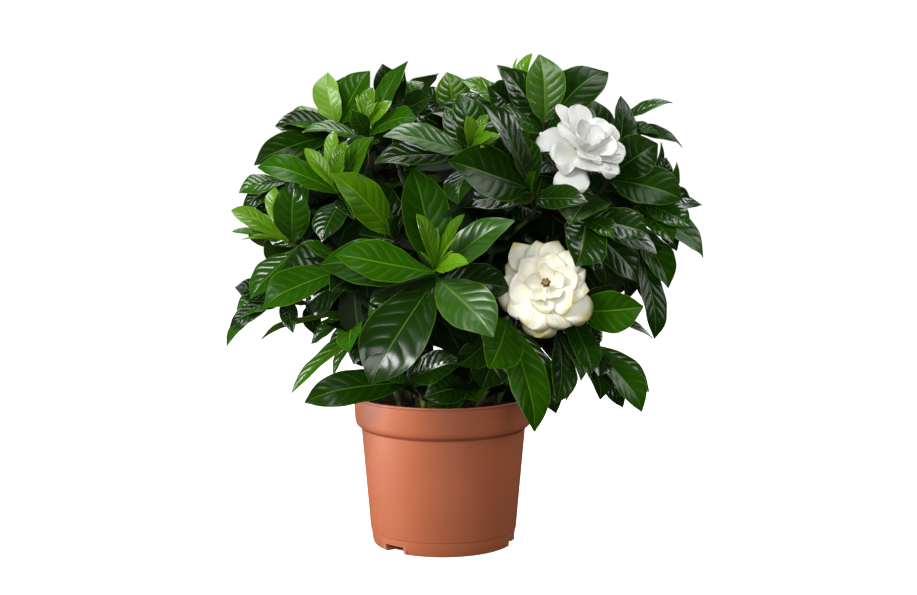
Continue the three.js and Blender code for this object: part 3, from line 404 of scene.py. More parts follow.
class Blade:
    """One leaf or petal: its root, tip, upper side, width and bends, in millimetres"""

    def __init__(self, root, tip, up, width, thick, arch, sag, fold, wave, phase):
        self.root, self.tip, self.up = root, tip, up
        self.width, self.thick = width, thick
        self.arch, self.sag, self.fold, self.wave, self.phase = arch, sag, fold, wave, phase

    def bend(self):
        length = (self.tip - self.root).length
        return self.up * (2 * self.arch * length) + UP * (2 * self.sag * length)

    def end(self):
        """The tip's corner in the solid"""
        chord = self.tip - self.root
        tangent = (chord - self.bend()).normalized()
        side = tangent.cross(self.up).normalized()
        return self.tip - side.cross(tangent) * (self.thick / 2)

    def moved(self, reach, turn, lift, roll):
        """The blade made shorter, turned aside, lifted and rolled, as the solids' rules do it"""
        chord = self.tip - self.root
        length = chord.length
        ahead = chord / length
        side = ahead.cross(self.up)
        aimed = (ahead + side * turn + self.up * lift).normalized()
        up = across(self.up + side * roll, aimed)
        tip = self.root + aimed * (length * reach)
        width = self.width * (0.4 + 0.6 * reach)
        return Blade(self.root, tip, up, width, self.thick, self.arch, self.sag, self.fold, self.wave,
                     self.phase)


def across(vector, line):
    """A vector's part at right angles to a line, as long as one"""
    return (vector - line * vector.dot(line)).normalized()


def shown_face(chord, axis, shown):
    """The upper side of a leaf along a chord that shows so much of itself to the front"""
    seen = across(FRONT, chord)
    aside = chord.cross(seen)
    if aside.dot(axis) < 0:
        aside.negate()
    return seen * shown + aside * math.sqrt(1 - shown * shown)


class Corners:
    """Finds a blade's place in a solid by its tip corner"""

    def __init__(self, node):
        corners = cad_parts[node].data.vertices
        self.tree = KDTree(len(corners))
        for i, corner in enumerate(corners):
            self.tree.insert(corner.co / MM, i)
        self.tree.balance()

    def placed(self, blade):
        """The blade as the solid has it, or nothing where the solid left it out"""
        for reach, (turn, lift), roll in product(REACHES, MOVES, ROLLS):
            candidate = blade.moved(reach, turn, lift, roll)
            if self.tree.find(candidate.end())[2] < FOUND_WITHIN:
                return [candidate]
        return []


# Stems, shoots and blades of the plant, by the same rules as its solids

def shoot_points(fork, tip, axis, straight):
    join = tip - axis * straight
    swing = (join - fork).length / 8
    middle = fork.lerp(join, 0.5) + UP * (0.6 * swing) - axis * swing
    return [fork, middle, join, tip]


class Shoot:
    """A leafy shoot: its path, and the blades that grow from it"""

    def __init__(self, stem, name, tip, axis, pairs, shown, young):
        self.stem, self.name, self.pairs, self.shown, self.young = stem, name, pairs, shown, young
        self.tip, self.axis = Vector(tip), Vector(axis).normalized()
        fork = Vector(STEMS[stem][1])
        self.straight = min(LONGEST_STRAIGHT, 0.6 * (self.tip - fork).length)
        self.points = shoot_points(fork, self.tip, self.axis, self.straight)

    def spot(self, back):
        """The point of the shoot so far back from its tip"""
        return self.tip - self.axis * min(back, self.straight)

    def shown_blades(self, draws):
        """The leaves that the photo shows, each with its tone"""
        for k, row in enumerate(self.shown):
            base = self.spot(TIP_ROOM + SHOWN_STEP * (k // 2))
            tip = Vector(row[:3])
            face = shown_face((tip - base).normalized(), self.axis, row[4])
            blade = leaf_blade(base, tip, face, row[3], LEAF_MIDRIB, draws)
            if len(row) > 5:
                blade.arch = row[5]
            yield blade, TONES[self.name][k]

    def pair_blades(self, draws):
        """The pairs of leaves down the shoot, each pair turned a quarter from the last"""
        side = across(FRONT if abs(self.axis.z) > 0.9 else UP, self.axis)
        other = self.axis.cross(side)
        first = PAIRS_BELOW if self.shown else TIP_ROOM
        start = draws.between(0, 90)
        for pair, half in product(range(self.pairs), (0, 180)):
            angle = math.radians(start + 90 * pair + half + draws.between(-25, 25))
            spread = math.radians(draws.between(46, 62) + 11 * pair)
            length = draws.between(62, 88)
            out = side * math.cos(angle) + other * math.sin(angle)
            way = self.axis * math.cos(spread) + out * math.sin(spread)
            base = self.spot(first + PAIR_STEP * pair)
            tip = inside_crown(base + way * length - UP * (0.14 * length))
            blade = leaf_blade(base, tip, self.axis, 0.44 * length, LEAF_MIDRIB, draws)
            yield blade, 0.1 + 0.3 * (0.5 + 0.5 * math.sin(blade.phase))

    def inner_blades(self, draws):
        """Older leaves in the shade inside the crown, which the solids leave out"""
        for _ in range(INNER_LEAVES):
            at = draws.between(0.3, 2.9)
            leg = min(int(at), 2)
            base = self.points[leg].lerp(self.points[leg + 1], at - leg)
            ahead = (self.points[leg + 1] - self.points[leg]).normalized()
            side = across(FRONT if abs(ahead.z) > 0.9 else UP, ahead)
            angle = math.radians(draws.between(0, 360))
            spread = math.radians(draws.between(50, 95))
            length = draws.between(46, 70)
            out = side * math.cos(angle) + ahead.cross(side) * math.sin(angle)
            way = ahead * math.cos(spread) + out * math.sin(spread)
            tip = inside_crown(base + way * length - UP * (0.3 * length), INNER_SHARE, INNER_DROP)
            up = (UP + ahead * 0.6 + FRONT * 0.3).normalized()
            blade = leaf_blade(base, tip, up, 0.46 * length, LEAF_MIDRIB, draws)
            clear = all(bloom.is_clear(base, tip) for bloom in ALL_BLOOMS)
            if (tip - base).length > SHORTEST_INNER and clear:
                yield blade, draws.between(0.0, 0.15)

    def reach_to(self, spot):
        """How far the shoot is from a place, and its point that is nearest"""
        steps = (a.lerp(b, k / 6) for a, b in zip(self.points[1:], self.points[2:]) for k in range(7))
        return min(((spot - step).length, tuple(step)) for step in steps)

    def young_blades(self, draws):
        """The leaves of the tuft at the tip, each with its tone"""
        base = self.tip + self.axis * TIP_ROOM
        for (x, y, z, width), tone in zip(self.young, YOUNG_TONES[self.name]):
            tip = Vector((x, y, z))
            face = shown_face((tip - base).normalized(), self.axis, SHOWN_FACE)
            yield leaf_blade(base, tip, face, width, YOUNG_MIDRIB, draws), tone

    def stipules(self, draws):
        """Thin pointed scales that stand between the young leaves, which the solids leave out"""
        base = self.tip + self.axis * TIP_ROOM
        for x, y, z, width in self.young:
            chord = Vector((x, y, z)) - base
            face = shown_face(chord.normalized(), self.axis, SHOWN_FACE)
            aside = chord.cross(face).normalized()
            for turn in (-1, 1):
                spread = turn * draws.between(0.55, 1.0) * width
                tip = base + chord * draws.between(0.5, 0.9) + aside * spread + face * draws.between(2, 5)
                foot = base.lerp(tip, 0.12)
                up = across(face, (tip - foot).normalized())
                yield Blade(foot, tip, up, width=2.2, thick=0.8, arch=0.08, sag=0, fold=0.3, wave=0.05,
                            phase=6 * draws.next())


def inside_crown(tip, share=1.0, drop=CROWN_DROP):
    """A tip, drawn in to a share of the rounded crown where it stands outside"""
    off = tip - CROWN_CENTRE
    height = CROWN_RISE if off.z > 0 else drop
    out = Vector((off.x / CROWN_SPREAD, off.y / CROWN_DEPTH, off.z / height)).length / share
    return CROWN_CENTRE + off / out if out > 1 else tip


def leaf_blade(base, tip, up, width, thick, draws):
    """A leaf from a shoot to a tip, its bends drawn at random"""
    ahead = (tip - base).normalized()
    arch, sag = draws.between(0.06, 0.14), -draws.between(0, 0.05)
    fold, wave = draws.between(0.1, 0.26), draws.between(0.05, 0.1)
    phase = draws.between(0, 2 * math.pi)
    root = base - ahead * ROOT_SINK
    return Blade(root, tip, across(up, ahead), width, thick, arch, sag, fold, wave, phase)


class Bloom:
    """A flower: its own axes, and its petals in layers"""

    def __init__(self, row):
        self.name, self.stem, self.heart = row["name"], row["stem"], row["heart"]
        self.layers = row["layers"]
        self.centre, self.facing = Vector(row["centre"]), Vector(row["facing"]).normalized()
        self.right = UP.cross(self.facing).normalized()
        self.above = self.facing.cross(self.right)

    def at(self, angle, reach, rise):
        """A place round the bloom's middle"""
        turn = math.radians(angle)
        return (self.centre + self.right * (reach * math.cos(turn))
                + self.above * (reach * math.sin(turn)) + self.facing * rise)

    def shoot_points(self):
        tip = self.centre + self.facing * (1 - CALYX_LENGTH - HUB_LENGTH)
        return shoot_points(Vector(STEMS[self.stem][1]), tip, self.facing, BLOOM_NECK)

    def petals(self, seed):
        """Each petal with the number of its layer"""
        draws = Draws(seed)
        for layer, rows in enumerate(self.layers):
            for angle, reach, rise, width in rows:
                root, tip = self.at(angle, 1, LAYER_ROOTS[layer]), self.at(angle, reach, rise)
                up = across(self.facing, (tip - root).normalized())
                yield layer, Blade(root, tip, up, width, PETAL_MIDRIB, LAYER_ARCH[layer], 0,
                                   LAYER_FOLD[layer], 0.1, draws.between(0, 2 * math.pi))

    def is_clear(self, base, tip):
        """Whether a leaf from base to tip keeps away from the bloom"""
        return all((base.lerp(tip, k / 6) - self.centre).length > BLOOM_ROOM for k in range(7))

    def sepals(self):
        high = -HUB_LENGTH - 0.3
        for i in range(SEPALS):
            root, tip = self.at(60 * i + 20, 1, high - 3), self.at(60 * i + 20, 15, high + 2)
            up = across(self.facing, (tip - root).normalized())
            yield Blade(root, tip, up, width=4, thick=1.2, arch=-0.1, sag=0, fold=0.1, wave=0, phase=0)


ALL_SHOOTS = [Shoot(*row) for row in SHOOTS]
ALL_BLOOMS = [Bloom(row) for row in BLOOMS]


def filler_blades(stem):
    """The leaves of one stem that fill places between the shown ones"""
    for k, (x, y, z, beyond, width) in enumerate(FILLERS):
        spot = Vector((x, y, z))
        _, nearest, owner = min((*shoot.reach_to(spot), shoot.stem) for shoot in ALL_SHOOTS)
        if owner != stem:
            continue
        base = Vector(nearest)
        ahead = (spot - base).normalized()
        tip = spot + ahead * beyond
        if (tip - base).length < SHORTEST_FILLER:
            base = tip - ahead * SHORTEST_FILLER
        yield leaf_blade(base, tip, (FRONT + UP * 0.3).normalized(), width, LEAF_MIDRIB, Draws(601 + k))


# Meshes

class Growth:
    """Gathers the parts of one piece, each with its material, tone and place along its blade"""

    def __init__(self):
        self.points, self.faces, self.skins, self.uvs, self.tones = [], [], [], [], []
        self.count = 0

    def add(self, points, faces, skins, uvs, tone):
        self.points.append(points)
        self.faces.append(faces + self.count)
        self.skins.append(skins)
        self.uvs.append(uvs)
        self.tones.append(np.full(len(points), tone))
        self.count += len(points)

    def add_sheet(self, sheet, points, tone, skins):
        """A bent blank, with one skin on its upper side and one on its back"""
        uvs = np.column_stack([(sheet.aside + 1) / 2, sheet.way])
        self.add(points, sheet.faces, np.where(sheet.under, skins[1], skins[0]), uvs, tone)

    def add_leaf(self, blade, tone, kind="leaf", widths=LEAF_WIDTHS, skins=(GLOSSY, BACK)):
        rim = looks().blade_thickness / MM
        points = blank(kind).bent(blade, widths, FINE_MIDRIB, rim, leaf_form)
        self.add_sheet(blank(kind), points, tone, skins)

    def add_tube(self, points, first, last, skin, sides=10, per=7):
        """A closed tube along a smooth path, its radius going from first to last"""
        spots = smooth_path(points, per)
        end = len(spots) - 1
        rings, uvs = [], []
        side = UP.cross(spots[1] - spots[0])
        if side.length < 0.1:
            side = Vector((1, 0, 0))
        for i, spot in enumerate(spots):
            ahead = (spots[min(i + 1, end)] - spots[max(i - 1, 0)]).normalized()
            side = across(side, ahead)
            other = ahead.cross(side)
            radius = first + (last - first) * i / end
            for k in range(sides):
                turn = 2 * math.pi * k / sides
                rings.append(spot + side * (radius * math.cos(turn)) + other * (radius * math.sin(turn)))
                uvs.append((k / sides, i / end))
        faces = []
        for ring, k in product(range(0, end * sides, sides), range(sides)):
            beside = (k + 1) % sides
            faces.append((ring + k, ring + beside, ring + sides + beside, ring + sides + k))
        for start, turn in ((0, -1), (end * sides, 1)):
            for k in range(start + 1, start + sides - 1, 2):
                faces.append((start, k, k + 1, k + 2)[::turn])
        self.add(np.array(rings), np.array(faces), np.full(len(faces), skin), np.array(uvs), WOOD_TONE)

    def piece(self, name, materials, smooth=50):
        """One mesh of all that was gathered, a hair inside the box of the solids"""
        low, high = np.array(CAD_BOX[0]) + 1e-5, np.array(CAD_BOX[1]) - 1e-5
        points = np.clip(np.concatenate(self.points) * MM, low, high)
        faces = np.concatenate(self.faces)
        mesh = bpy.data.meshes.new(name)
        mesh.from_pydata(points.tolist(), [], faces.tolist())
        mesh.polygons.foreach_set("material_index", np.concatenate(self.skins).astype(np.int32))
        places = np.concatenate(self.uvs)[faces.reshape(-1)]
        mesh.uv_layers.new(name="blade").data.foreach_set("uv", places.reshape(-1).astype(np.float32))
        tones = mesh.attributes.new("tone", "FLOAT", "POINT")
        tones.data.foreach_set("value", np.concatenate(self.tones).astype(np.float32))
        for material in materials:
            mesh.materials.append(material)
        mesh.update()
        piece = bpy.data.objects.new(name, mesh)
        bpy.context.collection.objects.link(piece)
        smoothed(piece, smooth)
        return piece


def only(piece):
    bpy.ops.object.select_all(action="DESELECT")
    piece.select_set(True)
    bpy.context.view_layer.objects.active = piece


def smoothed(piece, degrees):
    only(piece)
    bpy.ops.object.shade_smooth_by_angle(angle=math.radians(degrees))


def take_place(piece, node):
    """Puts a finished piece in the place of its node, on the plant's one body"""
    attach(piece, "root")
    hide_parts(node)


def curve_through(rows, ways):
    """A smooth curve through rows of (way, value)"""
    at, value = np.array(rows, float).T
    slope = np.gradient(value, at)
    k = np.clip(np.searchsorted(at, ways, side="right") - 1, 0, len(at) - 2)
    width = at[k + 1] - at[k]
    t = (ways - at[k]) / width
    return ((2 * t**3 - 3 * t**2 + 1) * value[k] + (t**3 - 2 * t**2 + t) * width * slope[k]
            + (3 * t**2 - 2 * t**3) * value[k + 1] + (t**3 - t**2) * width * slope[k + 1])


class Blank:
    """A flat sheet with a thickness, modelled once, that every blade is bent from"""

    def __init__(self, across_count, along_count):
        bpy.ops.object.select_all(action="DESELECT")
        bpy.ops.mesh.primitive_grid_add(x_subdivisions=across_count, y_subdivisions=along_count, size=2)
        sheet = bpy.context.active_object
        bpy.ops.object.modifier_add(type="SOLIDIFY")
        sheet.modifiers[-1].thickness = 0.1
        sheet.modifiers[-1].offset = 0
        bpy.ops.object.modifier_apply(modifier=sheet.modifiers[-1].name)
        mesh = sheet.data
        places = np.array([v.co for v in mesh.vertices])
        self.aside = np.clip(places[:, 0], -1, 1)
        self.way = np.clip((places[:, 1] + 1) / 2, 0, 1)
        self.upper = places[:, 2] > 0
        self.faces = np.array([list(f.vertices) for f in mesh.polygons])
        self.under = np.array([f.normal.z < -0.5 for f in mesh.polygons])
        bpy.data.objects.remove(sheet)

    def bent(self, blade, widths, thick, rim, form):
        """The sheet bent to a blade: form gives each point's height over the blade's middle"""
        chord, bend = np.array(blade.tip - blade.root), np.array(blade.bend())
        way, s = self.way[:, None], self.aside
        centre = np.array(blade.root) + chord * way + bend * (way * (1 - way))
        tangent = chord + bend * (1 - 2 * way)
        tangent /= np.linalg.norm(tangent, axis=1, keepdims=True)
        side = np.cross(tangent, np.array(blade.up))
        side /= np.linalg.norm(side, axis=1, keepdims=True)
        normal = np.cross(side, tangent)
        half = blade.width / 2 * curve_through(widths, self.way)
        height = form(blade, self.way, s, half)
        depth = rim + (thick - rim) * np.exp(-(s / 0.16) ** 2) * (1 - 0.6 * self.way)
        height = height - np.where(self.upper, 0, depth)
        return centre + side * (s * half)[:, None] + normal * height[:, None]


@cache
def blank(kind):
    """The blank of a leaf, of a small or young leaf, or of a petal"""
    return Blank(*{"leaf": (11, 23), "young": (9, 17), "petal": (17, 19)}[kind])


def leaf_form(blade, way, s, half):
    """Folded along the midrib, waved at the rim, a little twisted, and curled down at the tip"""
    size, length = np.abs(s), (blade.tip - blade.root).length
    uneven = 1 + 0.4 * np.sign(s) * math.sin(3 * blade.phase)
    ripple = blade.wave * np.sin(blade.phase + 9 * way + 1.3 * s) * s**2
    frill = 0.5 * blade.wave * np.sin(2.3 * blade.phase + 24 * way + 2 * s) * s**4
    twist = 0.3 * math.sin(5 * blade.phase) * s * way**2
    curl = 0.4 + 0.9 * abs(math.sin(2 * blade.phase))
    droop = -0.7 * curl * np.clip(way - 0.7, 0, 1) ** 2 * length
    groove = -0.35 * np.exp(-(s / 0.09) ** 2)
    return half * (blade.fold * uneven * size**1.25 + ripple + frill + twist) + droop + groove


def petal_form(layer, age):
    """The cup, waves and rolled rim of a petal of one layer"""
    roll, curl, cup = LAYER_SHAPES[layer]
    roll, curl = roll * (0.45 + 0.55 * age), curl * (0.5 + 0.5 * age)

    def form(blade, way, s, half):
        size = np.abs(s)
        lean = 0.5 + 0.5 * np.sin(3.1 * blade.phase + 2 * np.sign(s))
        ripple = (1.9 + age) * blade.wave * np.sin(blade.phase + 5 * way + 2.4 * s) * s**2
        frill = 1.2 * blade.wave * np.sin(2 * blade.phase + 13 * way + 6 * s) * s**2 * way**2
        back = -roll * (0.5 + lean) * np.clip(size - 0.5, 0, 1) ** 2 / 0.25 * way**3
        bent = curl * (0.3 + 1.4 * abs(math.sin(2 * blade.phase)))
        tip = -bent * np.clip(way - 0.65, 0, 1) ** 2 / 0.12 * (blade.tip - blade.root).length * 0.5
        hollow = cup * size**2 * (1 - 0.5 * way)
        twist = (0.2 + 0.35 * age) * math.sin(3 * blade.phase) * s * way**2
        return half * (hollow + ripple + frill + back + twist) + tip

    return form


def smooth_path(points, per):
    """A smooth path through points, with so many places to each step"""
    spots = []
    ends = [points[0] * 2 - points[1], *points, points[-1] * 2 - points[-2]]
    for a, b, c, d in zip(ends, ends[1:], ends[2:], ends[3:]):
        for k in range(per):
            t = k / per
            spots.append(0.5 * (b * 2 + (c - a) * t + (a * 2 - b * 5 + c * 4 - d) * t**2
                                + (b * 3 - a - c * 3 + d) * t**3))
    spots.append(points[-1])
    return spots


# Materials

class Value:
    """A number socket of a shader: an expression on it adds its Math nodes"""

    def __init__(self, maker, socket):
        self.maker, self.socket = maker, socket

    def math(self, operation, *terms):
        return self.maker.value("ShaderNodeMath", {"operation": operation}, dict(enumerate(terms)))

    def __add__(self, other):
        return self.math("ADD", self, other)

    def __sub__(self, other):
        return self.math("SUBTRACT", self, other)

    def __rsub__(self, other):
        return self.math("SUBTRACT", other, self)

    def __mul__(self, other):
        return self.math("MULTIPLY", self, other)

    def __pow__(self, other):
        return self.math("POWER", self, other)

    def __abs__(self):
        return self.math("ABSOLUTE", self)

    __radd__ = __add__
    __rmul__ = __mul__

    def sine(self):
        return self.math("SINE", self)

    def ramp(self, low, high):
        """0 at low, 1 at high, smooth between"""
        return self.maker.value("ShaderNodeMapRange", {"interpolation_type": "SMOOTHSTEP"},
                                {"Value": self, "From Min": low, "From Max": high})


class Nodes:
    """Adds nodes to one tree, and sets or links their sockets"""

    def __init__(self, tree):
        self.tree = tree

    def set(self, socket, given):
        if isinstance(given, Value):
            given = given.socket
        if isinstance(given, bpy.types.NodeSocket):
            self.tree.links.new(given, socket)
        else:
            socket.default_value = given

    def node(self, kind, settings=None, inputs=None):
        node = self.tree.nodes.new(kind)
        for name, setting in (settings or {}).items():
            setattr(node, name, setting)
        for name, given in (inputs or {}).items():
            self.set(node.inputs[name], given)
        return node

    def value(self, kind, settings=None, inputs=None, output=0):
        return Value(self, self.node(kind, settings, inputs).outputs[output])


class Finish(Nodes):
    """Builds one material's nodes"""

    def __init__(self, name, **settings):
        self.material = bpy.data.materials.new(name)
        self.material.use_nodes = True
        super().__init__(self.material.node_tree)
        self.shader = self.tree.nodes["Principled BSDF"]
        for socket, setting in settings.items():
            self.set(self.shader.inputs[socket.replace("_", " ")], setting)

    def mix(self, factor, first, second):
        inputs = {0: factor, 6: first, 7: second}
        return self.node("ShaderNodeMix", {"data_type": "RGBA"}, inputs).outputs[2]

    def shade(self, colour, factor):
        """A colour made lighter or darker by a number"""
        grey = self.node("ShaderNodeCombineXYZ", None, {0: factor, 1: factor, 2: factor}).outputs[0]
        return self.node("ShaderNodeVectorMath", {"operation": "MULTIPLY"}, {0: colour, 1: grey}).outputs[0]

    def speckle(self, scale, detail=3.0):
        place = self.node("ShaderNodeTexCoord").outputs["Object"]
        return self.value("ShaderNodeTexNoise", None, {"Vector": place, "Scale": scale, "Detail": detail})

    def parts(self, place):
        """The three numbers of a place"""
        return [Value(self, part) for part in self.node("ShaderNodeSeparateXYZ", None, {0: place}).outputs]

    def place(self):
        return self.parts(self.node("ShaderNodeTexCoord").outputs["Object"])

    def blade(self):
        """Distance from the midrib, from -1 to 1, the way along, and the blade's tone"""
        aside, way, _ = self.parts(self.node("ShaderNodeUVMap", {"uv_map": "blade"}).outputs[0])
        side = aside * 2 - 1
        return side, way, self.value("ShaderNodeAttribute", {"attribute_name": "tone"}, None, "Fac")

    def bump(self, height, distance):
        node = self.node("ShaderNodeBump", None, {"Height": height, "Distance": distance})
        self.set(self.shader.inputs["Normal"], node.outputs[0])

    def paint(self, colour, roughness=None):
        self.set(self.shader.inputs["Base Color"], colour)
        if roughness is not None:
            self.set(self.shader.inputs["Roughness"], roughness)
        return self.material


def rgb(colour, share=1.0):
    return (*[c * share for c in colour], 1.0)


def leaf_finish(look, name, dull, shine=0.5, upper=True):
    """Quilted between its side veins, lighter along the midrib, with a painted highlight along the rim"""
    finish = Finish(name, Specular_IOR_Level=shine)
    side, way, tone = finish.blade()
    apart = abs(side)
    warp = finish.speckle(22.0, 1.0) * 0.5
    beat = way * look.veins - apart * (look.vein_lean * 0.6) - apart * apart * (look.vein_lean * 0.4)
    swell = abs(((beat + tone * 7 + warp) * math.pi).sine())
    inward = apart.ramp(0.02, 0.3) * (1 - apart.ramp(0.7, 1.02))
    body = inward * way.ramp(0.06, 0.25) * (1 - way.ramp(0.75, 1.0))
    vein = (1 - swell) ** 4 * body
    midrib = 1 - apart.ramp(0.012, 0.035 + tone * 0.02)
    blotch = finish.speckle(34.0)
    if upper:
        green = finish.mix(tone.ramp(0.0, 0.5), rgb(look.dark), rgb(look.middle))
        green = finish.mix(tone.ramp(0.45, 1.0), green, rgb(look.lime))
        pale = finish.mix(tone.ramp(0.0, 0.8), rgb(look.rib), rgb(look.lime, 1.2))
    else:
        green = finish.mix(tone, rgb(look.underside), rgb(look.lime, 0.9))
        pale = finish.mix(0.5, green, rgb(look.rib, 1.3))
    green = finish.shade(green, 0.72 + blotch * 0.56)
    # The third mask, at the rim, paints a highlight where the leaf's edge would catch the light
    for line in (vein * (0.12 + tone * 0.2), midrib * 0.8, apart.ramp(0.95, 0.99) * 0.7):
        green = finish.mix(line, green, pale)
    rib = apart.ramp(0.0, 0.1)
    if upper:
        depth = 1 - tone.ramp(0.6, 0.9) * 0.6
        height = swell ** 0.8 * body * depth + rib * 0.5 + blotch * 0.6
    else:
        height = 1 - rib + finish.speckle(420.0) * 0.1 - swell * body * 0.3
    finish.bump(height, look.quilt_depth * (0.8 if shine < 0.5 else 1.0))
    return finish.paint(green, blotch * 0.06 + tone.ramp(0.5, 1.0) * 0.09 + dull)


def shaded_leaf_finish(look, name):
    """The dull leaves inside the crown, their green painted darker as shade"""
    finish = Finish(name, Roughness=0.7, Specular_IOR_Level=0.15)
    side = finish.blade()[0]
    rib = 1 - abs(side).ramp(0.02, 0.08)
    green = finish.mix(rib * 0.5, rgb(look.dark), rgb(look.rib))
    # Painted shade: the green is darkened, with a random mottle, as the crown would shade it
    green = finish.shade(green, 0.4 + finish.speckle(30.0) * 0.5)
    finish.bump(1 - rib + finish.speckle(60.0), look.quilt_depth)
    return finish.paint(green)


def stem_finish(look, name):
    """Brown bark mottled with green, darkened higher up as painted shade from the crown"""
    finish = Finish(name, Roughness=0.5)
    wood = finish.mix(finish.speckle(60.0).ramp(0.42, 0.6), rgb(look.stem), rgb(look.bark))
    # Painted shade: the bark is darkened above 13 to 20 cm, inside the crown
    wood = finish.shade(wood, 1 - finish.place()[2].ramp(0.13, 0.2) * 0.6)
    finish.bump(finish.speckle(900.0), 0.0004)
    return finish.paint(wood)


def petal_finish(look, name, age):
    """Finely ribbed, cream at its foot and, with age, yellow at its tip"""
    finish = Finish(name, Roughness=0.5, Subsurface_Weight=0.2 + 0.15 * age, Subsurface_Scale=0.002,
                    Subsurface_Radius=(0.9, 0.9, 0.8))
    side, way, tone = finish.blade()
    ribs = (side * 26 + way * 3).sine() * way.ramp(0.2, 0.5)
    # The white is a grey: painted shade on the petals of the fresh upper bloom, while the older lower bloom
    # takes the ivory
    white = finish.mix(finish.speckle(45.0) * 0.6 + (age - 0.3), rgb(look.white), rgb(look.ivory))
    # Cream towards the foot: partly the petal's own colour, partly painted warm shade deep in the bloom, more
    # with age
    white = finish.mix((1 - way.ramp(0.0, 0.6)) * (0.35 + 0.45 * age), white, rgb(look.cream))
    outward = way.ramp(0.78, 1.0) + abs(side).ramp(0.8, 1.0) * way
    aged = outward * finish.speckle(90.0).ramp(0.3, 0.6) * tone.ramp(0.35, 1.0)
    white = finish.mix(aged * (1.3 * age), white, rgb(look.yellow))
    finish.bump(ribs * 0.1 + finish.speckle(160.0) * 0.6, 0.0005)
    return finish.paint(white)


def heart_finish(look, name, bright):
    """Dusty with pollen, brighter or darker"""
    finish = Finish(name, Roughness=0.6)
    dust = finish.speckle(700.0)
    finish.bump(dust, 0.0005)
    dark, light = rgb(look.stamen, bright * 0.4), rgb(look.stamen, bright)
    return finish.paint(finish.mix(dust.ramp(0.4, 0.65), dark, light))


def pot_finish(look, name):
    """Plain plastic, with painted shade in the soil's colour on the inner side of the rim"""
    finish = Finish(name, Roughness=look.sheen)
    x, y, z = finish.place()
    # Painted shade: the inner side of the rim, above the soil, is painted in the soil's dark colour
    painted_rim_shade = (1 - ((x * x + y * y) ** 0.5).ramp(0.0681, 0.0686)) * z.ramp(0.097, 0.098)
    tint = finish.mix(finish.speckle(30.0), rgb(look.plastic, 0.95), rgb(look.plastic, 1.05))
    tint = finish.mix(painted_rim_shade * (0.8 + finish.speckle(200.0) * 0.3), tint, rgb(look.earth, 1.5))
    finish.bump(finish.speckle(1500.0), 0.00006)
    return finish.paint(tint)


def soil_finish(look, name):
    """Loose dark grains"""
    finish = Finish(name, Roughness=0.95)
    grain = finish.speckle(260.0, 8.0)
    finish.bump(grain + finish.speckle(900.0) * 0.5, 0.003)
    return finish.paint(finish.mix(grain.ramp(0.4, 0.75), rgb(look.earth, 0.5), rgb(look.earth, 3.0)))


# What a user can change

def swatch(name, description, default):
    return bpy.props.FloatVectorProperty(name=name, description=description, subtype="COLOR", default=default)


def number(name, description, default, **limits):
    return bpy.props.FloatProperty(name=name, description=description, default=default, **limits)


def portion(name, description, default):
    return number(name, description, default, min=0, max=1, subtype="FACTOR")


def metres(name, description, default):
    return number(name, description, default, unit="LENGTH")


class GardeniaPot(bpy.types.PropertyGroup):
    """The pot and its soil"""

    plastic: swatch("Plastic", "Colour of the pot", (0.425, 0.117, 0.048))
    sheen: portion("Roughness", "Roughness of the pot", 0.5)
    sides: bpy.props.IntProperty(
        name="Sides", description="Flat sides round the pot", default=144, min=24, max=256)
    height: metres("Height", "Height of the pot", POT_BOX[1].z)
    rim_radius: metres("Rim radius", "Radius of the rim", POT_BOX[1].x)
    # The soil colour also paints the shade on the inner side of the pot's rim
    earth: swatch("Soil", "Colour of the soil", (0.022, 0.014, 0.009))


class GardeniaLeaves(bpy.types.PropertyGroup):
    """The leaves and stems"""

    dark: swatch("Dark", "Mature leaf", (0.0045, 0.019, 0.0005))
    middle: swatch("Middle", "Lighter mature leaf", (0.02, 0.092, 0.0005))
    lime: swatch("Lime", "Young leaf", (0.14, 0.32, 0.005))
    underside: swatch("Underside", "Back of a leaf", (0.045, 0.085, 0.015))
    # The rib colour also paints the highlight along each leaf's rim
    rib: swatch("Rib", "Midrib and rim", (0.07, 0.16, 0.015))
    stem: swatch("Stem", "Green part of the stems", (0.14, 0.2, 0.035))
    bark: swatch("Bark", "Brown part of the stems", (0.06, 0.035, 0.02))
    gloss: portion("Roughness", "Roughness of the upper side", 0.2)
    satin: portion("Satin roughness", "Roughness of a satin leaf", 0.24)
    pale_sheen: portion("Pale-sheened roughness", "Roughness of a leaf with a broad pale sheen", 0.32)
    under_gloss: portion("Back roughness", "Roughness of the back", 0.45)
    veins: number("Veins", "Side veins along a leaf", 8)
    vein_lean: number("Vein lean", "How far the side veins sweep forwards", 1.7)
    quilt_depth: metres("Quilting", "Depth of the quilting", 0.0005)
    blade_thickness: metres("Thickness", "Thickness of a leaf at its rim", 0.00035)


class GardeniaBlooms(bpy.types.PropertyGroup):
    """The petals and stamens"""

    # A grey rather than a white, as painted shade on the upper bloom
    white: swatch("White", "Petal", (0.65, 0.66, 0.645))
    ivory: swatch("Ivory", "Older petal", (1.0, 0.975, 0.8))
    # The cream also paints warm shade deep in the bloom
    cream: swatch("Cream", "Foot of a petal", (0.97, 0.91, 0.66))
    yellow: swatch("Yellow", "Tip of an older petal", (0.72, 0.62, 0.2))
    stamen: swatch("Stamens", "Heart of the bloom", (0.4, 0.25, 0.03))


class GardeniaStage(bpy.types.PropertyGroup):
    """The studio"""

    floor_size: metres("Floor", "Side of the floor", 30)
    key: number("Key light", "Power from the upper left", 22)
    sky: number("Sky light", "Power from above", 14)
    fill: number("Fill light", "Power from the front", 30)
    side: number("Side light", "Power from the left", 2.5)
    back: number("Back light", "Power from the right", 12)
    ambient: number("Ambient", "Light from all round", 0.03)


def looks():
    """What a user can change about the leaves"""
    return bpy.context.scene.gardenia_leaves


